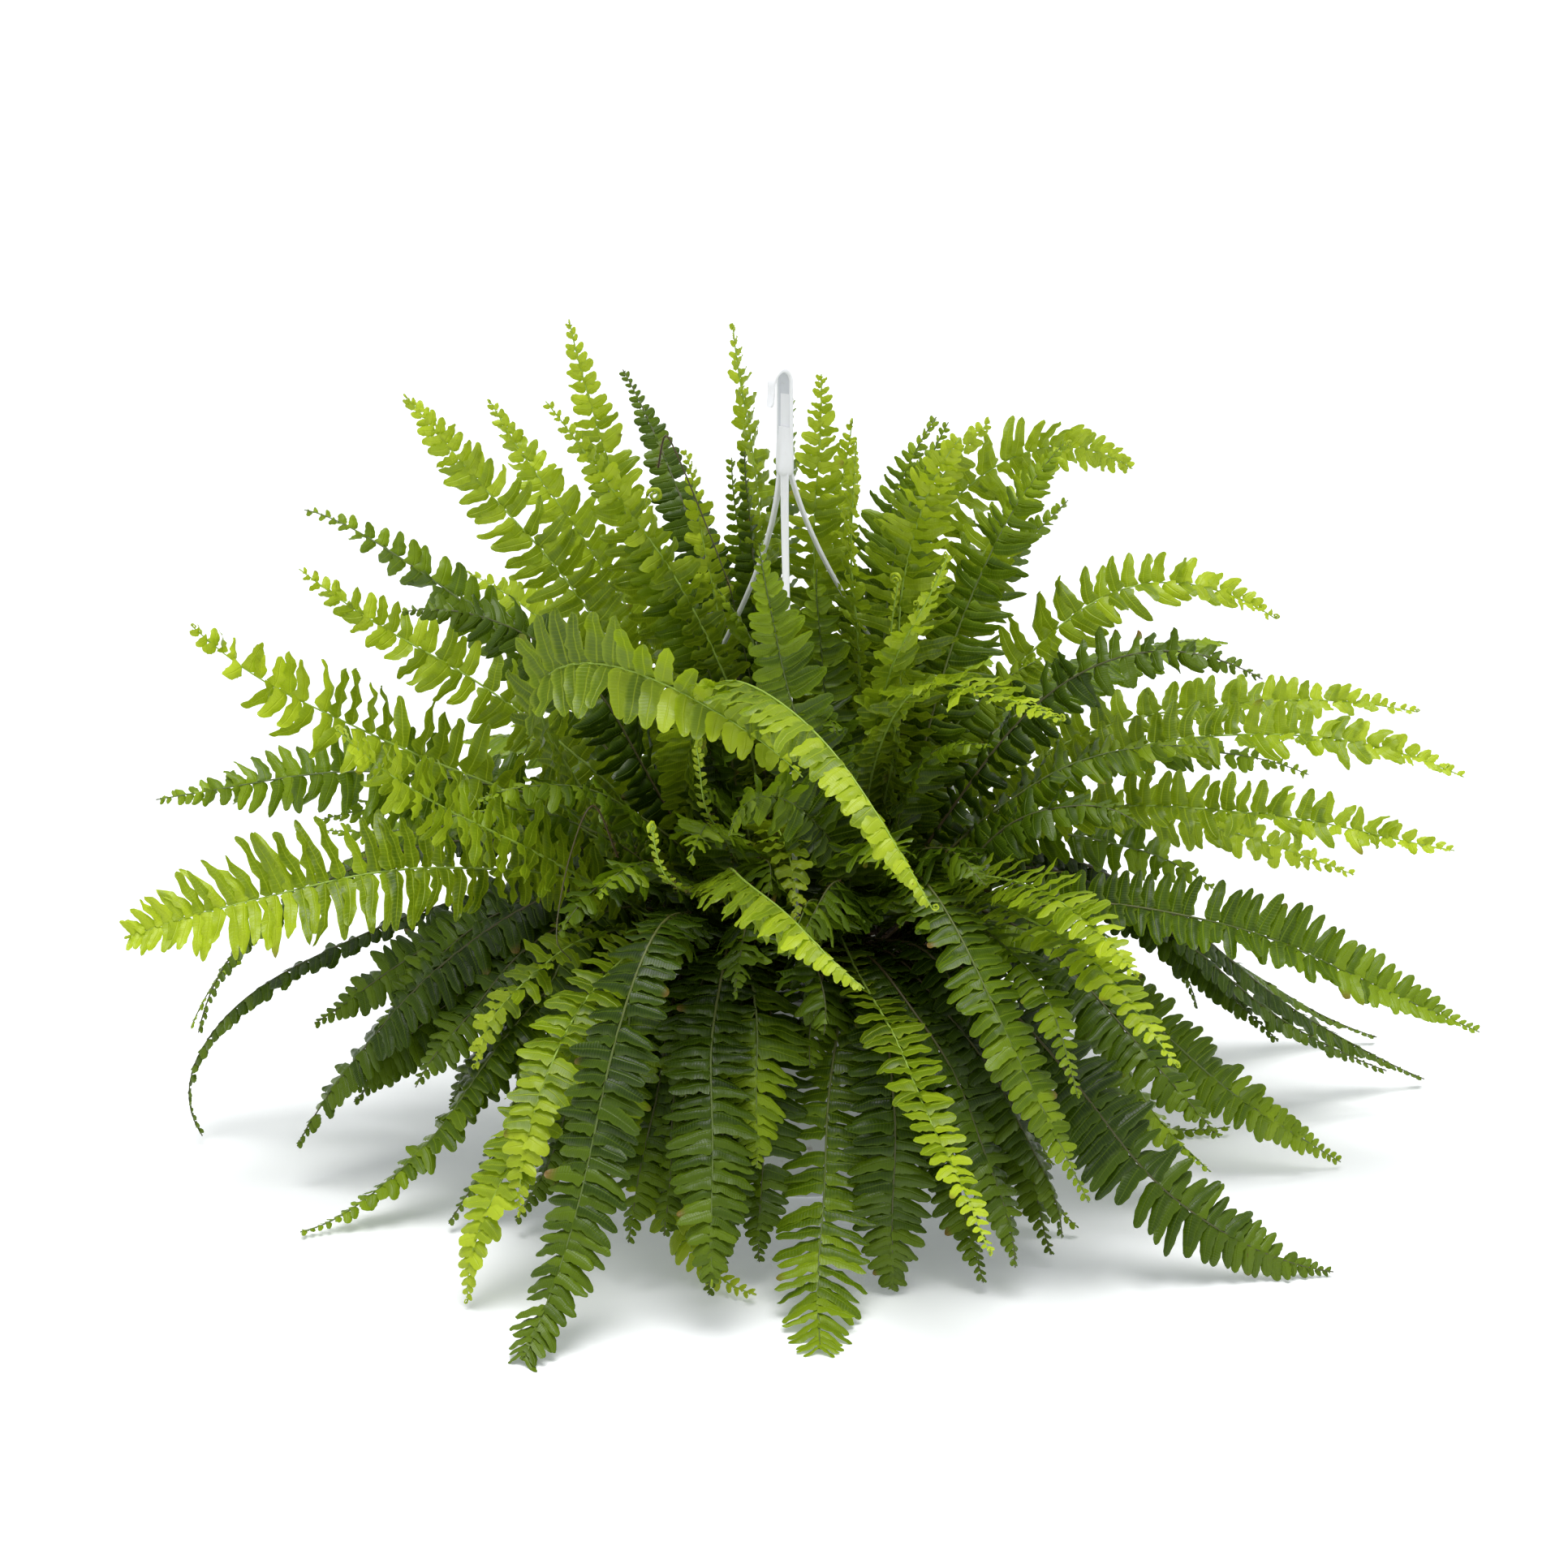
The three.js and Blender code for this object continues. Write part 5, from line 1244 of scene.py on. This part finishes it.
def makeSoil(roots):
    f = soilForm
    dice = np.random.default_rng(f["seed"])
    radius = potForm["rimRadius"] - potForm["wall"] - potForm["rimStep"] - f["gap"]
    bottomRadius = potForm["baseRadius"] - potForm["wall"] - f["gap"]
    level = frondForm["soilLevel"]
    waves = []
    for size, depth, count in f["waves"]:
        for _ in range(count):
            waves.append((dice.uniform(-1, 1, 2) * size, dice.uniform(0, 6), depth))
    heads = np.array([root[:2] for root in roots])

    def lift(x, y):
        rise = sum(depth * math.sin(w[0] * x + w[1] * y + phase) for w, phase, depth in waves)
        near = np.exp(-np.sum((heads - (x, y)) ** 2, 1) / f["heapSpread"]).max()
        return f["crumb"] * rise * f["waveShare"] + f["heap"] * near + dice.uniform(-f["grit"], f["grit"])

    loops = []
    for r in np.linspace(f["axisHole"], radius - 0.4, f["rings"]):
        edge = min(1.0, (radius - r) / 4)
        loops.append([(x, y, z + lift(x, y) * edge) for x, y, z in ringOf(r, level, f["segments"])])
    rimFoot = potForm["height"] - potForm["rimBand"]
    bottom = potForm["floor"] + f["gap"]
    for r, z in ((radius, level - 1), (radius, rimFoot), (bottomRadius, bottom), (f["axisHole"], bottom)):
        loops.append(ringOf(r, z, f["segments"]))
    shell = Shell()
    shell.loft(loops[::-1])
    for k in range(f["chips"]):
        addChip(shell, k % 3 == 0, radius - 5, level + f["sunk"], dice)
    shell.piece("potting_soil", ["soil", "perlite", "bark"], "soil", 60)


def addChip(shell, isPerlite, within, level, dice):
    # a grain of perlite or a chip of bark, half sunk in
    f = soilForm
    angle, r = dice.uniform(0, fullTurn), within * math.sqrt(dice.random())
    if isPerlite:
        size = dice.uniform(*f["perlite"], 3)
    else:
        size = dice.uniform(*f["bark"], 3) * f["barkShape"]
    spin, tilt = dice.uniform(0, fullTurn), dice.uniform(-0.5, 0.5)
    corners = []
    for i in range(8):
        signs = np.array([(i & 1) * 2 - 1, (i >> 1 & 1) * 2 - 1, (i >> 2 & 1) * 2 - 1])
        a, b, c = signs * size * dice.uniform(0.6, 1.0, 3)
        b, c = b * math.cos(tilt) - c * math.sin(tilt), b * math.sin(tilt) + c * math.cos(tilt)
        corners.append((r * math.cos(angle) + a * math.cos(spin) - b * math.sin(spin),
                        r * math.sin(angle) + a * math.sin(spin) + b * math.cos(spin), level + c))
    sides = [(0, 2, 3, 1), (4, 5, 7, 6), (0, 1, 5, 4), (2, 6, 7, 3), (0, 4, 6, 2), (1, 3, 7, 5)]
    shell.add(corners, sides, 1 if isPerlite else 2)


makePot()
makeHanger()
makeSoil([rootOf(crown[0]) for crown in crowns])
print("pot, hanger and soil made")

# Fronds still rolled up, with small leaflets under the coil: row as for a frond, and the coil's size.
# The last is an open young frond that hangs in front of the hanger's front leg.
croziers = [
    (("crozier_1", -103, 30, 452, 84, 84, 0, 0, 7, 20, "young"), 5.2),
    (("crozier_2", -70, -150, 338, 70, 78, 0, 0, 6, 0, "young"), 4.6),
    (("crozier_3", -96, -200, 300, 62, 74, 0, 0, 6, 0, "young"), 4.6),
    (("crozier_4", 60, -40, 415, 82, 84, 0, 0, 6, 0, "young"), 4.2),
    (("crozier_5", -5, -155, 223, 76, -62, -20, 10, 18, 20, "young", (1.0, 0.5)), 2.8),
]
crozierForm = {"innerCoil": 0.8, "hairs": 160}
runners = [
    [(-96, 36, 470), (-91, 30, 493), (-83, 26, 481), (-66, 20, 440), (-52, 10, 405), (-46, 20, 380),
     (-30, 30, 300)],
    [(-120, -110, 250), (-135, -130, 292), (-150, -150, 262), (-158, -160, 215), (-150, -140, 190)],
]
runnerForm = {"steps": 18, "widths": (0.7, 0.4), "tones": (0.1, 0.7), "hairs": 120}


def smoothLine(points, count):
    # a smooth line through the points
    points = np.array(points, float)
    ends = np.concatenate([[2 * points[0] - points[1]], points, [2 * points[-1] - points[-2]]])
    out = []
    for k in range(len(points) - 1):
        a, b, c, d = ends[k:k + 4]
        for t in np.linspace(0, 1, count, endpoint=False):
            out.append(0.5 * (2 * b + (c - a) * t + (2 * a - 5 * b + 4 * c - d) * t ** 2
                              + (3 * b - a - 3 * c + d) * t ** 3))
    out.append(points[-1])
    return np.array(out)


def makeCroziers():
    skin = Skin()
    slots = {"young": 0, "youngRib": 1, "hair": 2}
    for k, (row, size) in enumerate(croziers):
        dice = np.random.default_rng(seeds["croziers"] + k)
        frond = asFrond(row)
        root = rootOf(frond)
        addFrond(skin, frond, root, slots, dice)
        arch = archOf(frond, root, dice)
        addKnob(skin, arch, slots["young"], size, dice)
        addKnob(skin, arch, slots["youngRib"], size * crozierForm["innerCoil"], dice)
        addScales(skin, arch, slots["hair"], crozierForm["hairs"], dice)
    piece = bpy.data.objects.new("fern_croziers", skin.mesh("fern_croziers", [finishes[f] for f in slots]))
    scene.collection.objects.link(piece)
    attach(piece, "root")


def makeRunners():
    skin = Skin()
    slots = {"oldRib": 0, "hair": 1}
    for k, route in enumerate(runners):
        points = smoothLine(route, runnerForm["steps"])
        count = len(points)
        along, sides, ups = framesOf(points, np.array([1.0, 0.2, 0.1]))
        addTube(skin, points, sides, ups, np.linspace(*runnerForm["widths"], count), slots["oldRib"],
                np.linspace(*runnerForm["tones"], count))
        arch = {"share": np.linspace(0, 1, count), "points": points, "along": along, "sides": sides,
                "ups": ups}
        dice = np.random.default_rng(seeds["runners"] + k)
        addScales(skin, arch, slots["hair"], runnerForm["hairs"], dice)
    piece = bpy.data.objects.new("fern_runners", skin.mesh("fern_runners", [finishes[f] for f in slots]))
    scene.collection.objects.link(piece)
    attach(piece, "root")


makeCroziers()
makeRunners()
print("croziers and runners made")

# sizes and places in metres
studio = {
    "floorSize": 60.0, "floorTones": ((0.93, 0.935, 0.94), (0.90, 0.905, 0.915)), "floorGlow": 0.20,
    "glowTone": (0.90, 0.95, 1.0), "sky": 0.49, "skyTone": (0.955, 0.975, 1.0),
    "sun": 2.7, "sunAngle": 42.0, "sunDirection": (0.0, 0.08, -1),
    "fill": 1.5, "fillSize": 1.8, "fillPlace": (0.9, -3.2, 1.9), "fillTarget": (0, 0, 0.25),
}


def makeFloor():
    half = studio["floorSize"] / 2
    data = bpy.data.meshes.new("floor")
    corners = [(-half, -half, 0), (half, -half, 0), (half, half, 0), (-half, half, 0)]
    data.from_pydata(corners, [], [(0, 1, 2, 3)])
    floor = bpy.data.objects.new("floor", data)
    scene.collection.objects.link(floor)
    paper = Finish("studio floor")
    cloud = paper.noise(3.0)
    data.materials.append(paper.output(paper.surface({
        "Base Color": paper.blend(cloud * 0.3, *studio["floorTones"]),
        "Roughness": 0.6 + cloud * 0.1,
        "Normal": paper.bump(paper.noise(600.0), 0.05, 0.0005),
        "Emission Color": (*studio["glowTone"], 1),
        "Emission Strength": studio["floorGlow"],
    })))


def addLight(name, kind, power, direction, place=(0, 0, 0)):
    data = bpy.data.lights.new(name, kind)
    data.energy = power
    light = bpy.data.objects.new(name, data)
    scene.collection.objects.link(light)
    light.location = place
    light.rotation_mode = "QUATERNION"
    light.rotation_quaternion = direction.to_track_quat("-Z", "Y")
    return data


def makeLights():
    sun = addLight("ceilingLight", "SUN", studio["sun"], Vector(studio["sunDirection"]))
    sun.angle = math.radians(studio["sunAngle"])
    place = Vector(studio["fillPlace"])
    box = addLight("fillBox", "AREA", studio["fill"], Vector(studio["fillTarget"]) - place, place)
    box.shape = "DISK"
    box.size = studio["fillSize"]
    world = bpy.data.worlds.new("studioSky")
    scene.world = world
    world.use_nodes = True
    background = world.node_tree.nodes["Background"].inputs
    background["Color"].default_value = (*studio["skyTone"], 1)
    background["Strength"].default_value = studio["sky"]


makeFloor()
makeLights()
scene.view_settings.view_transform = "Standard"
print("studio made")
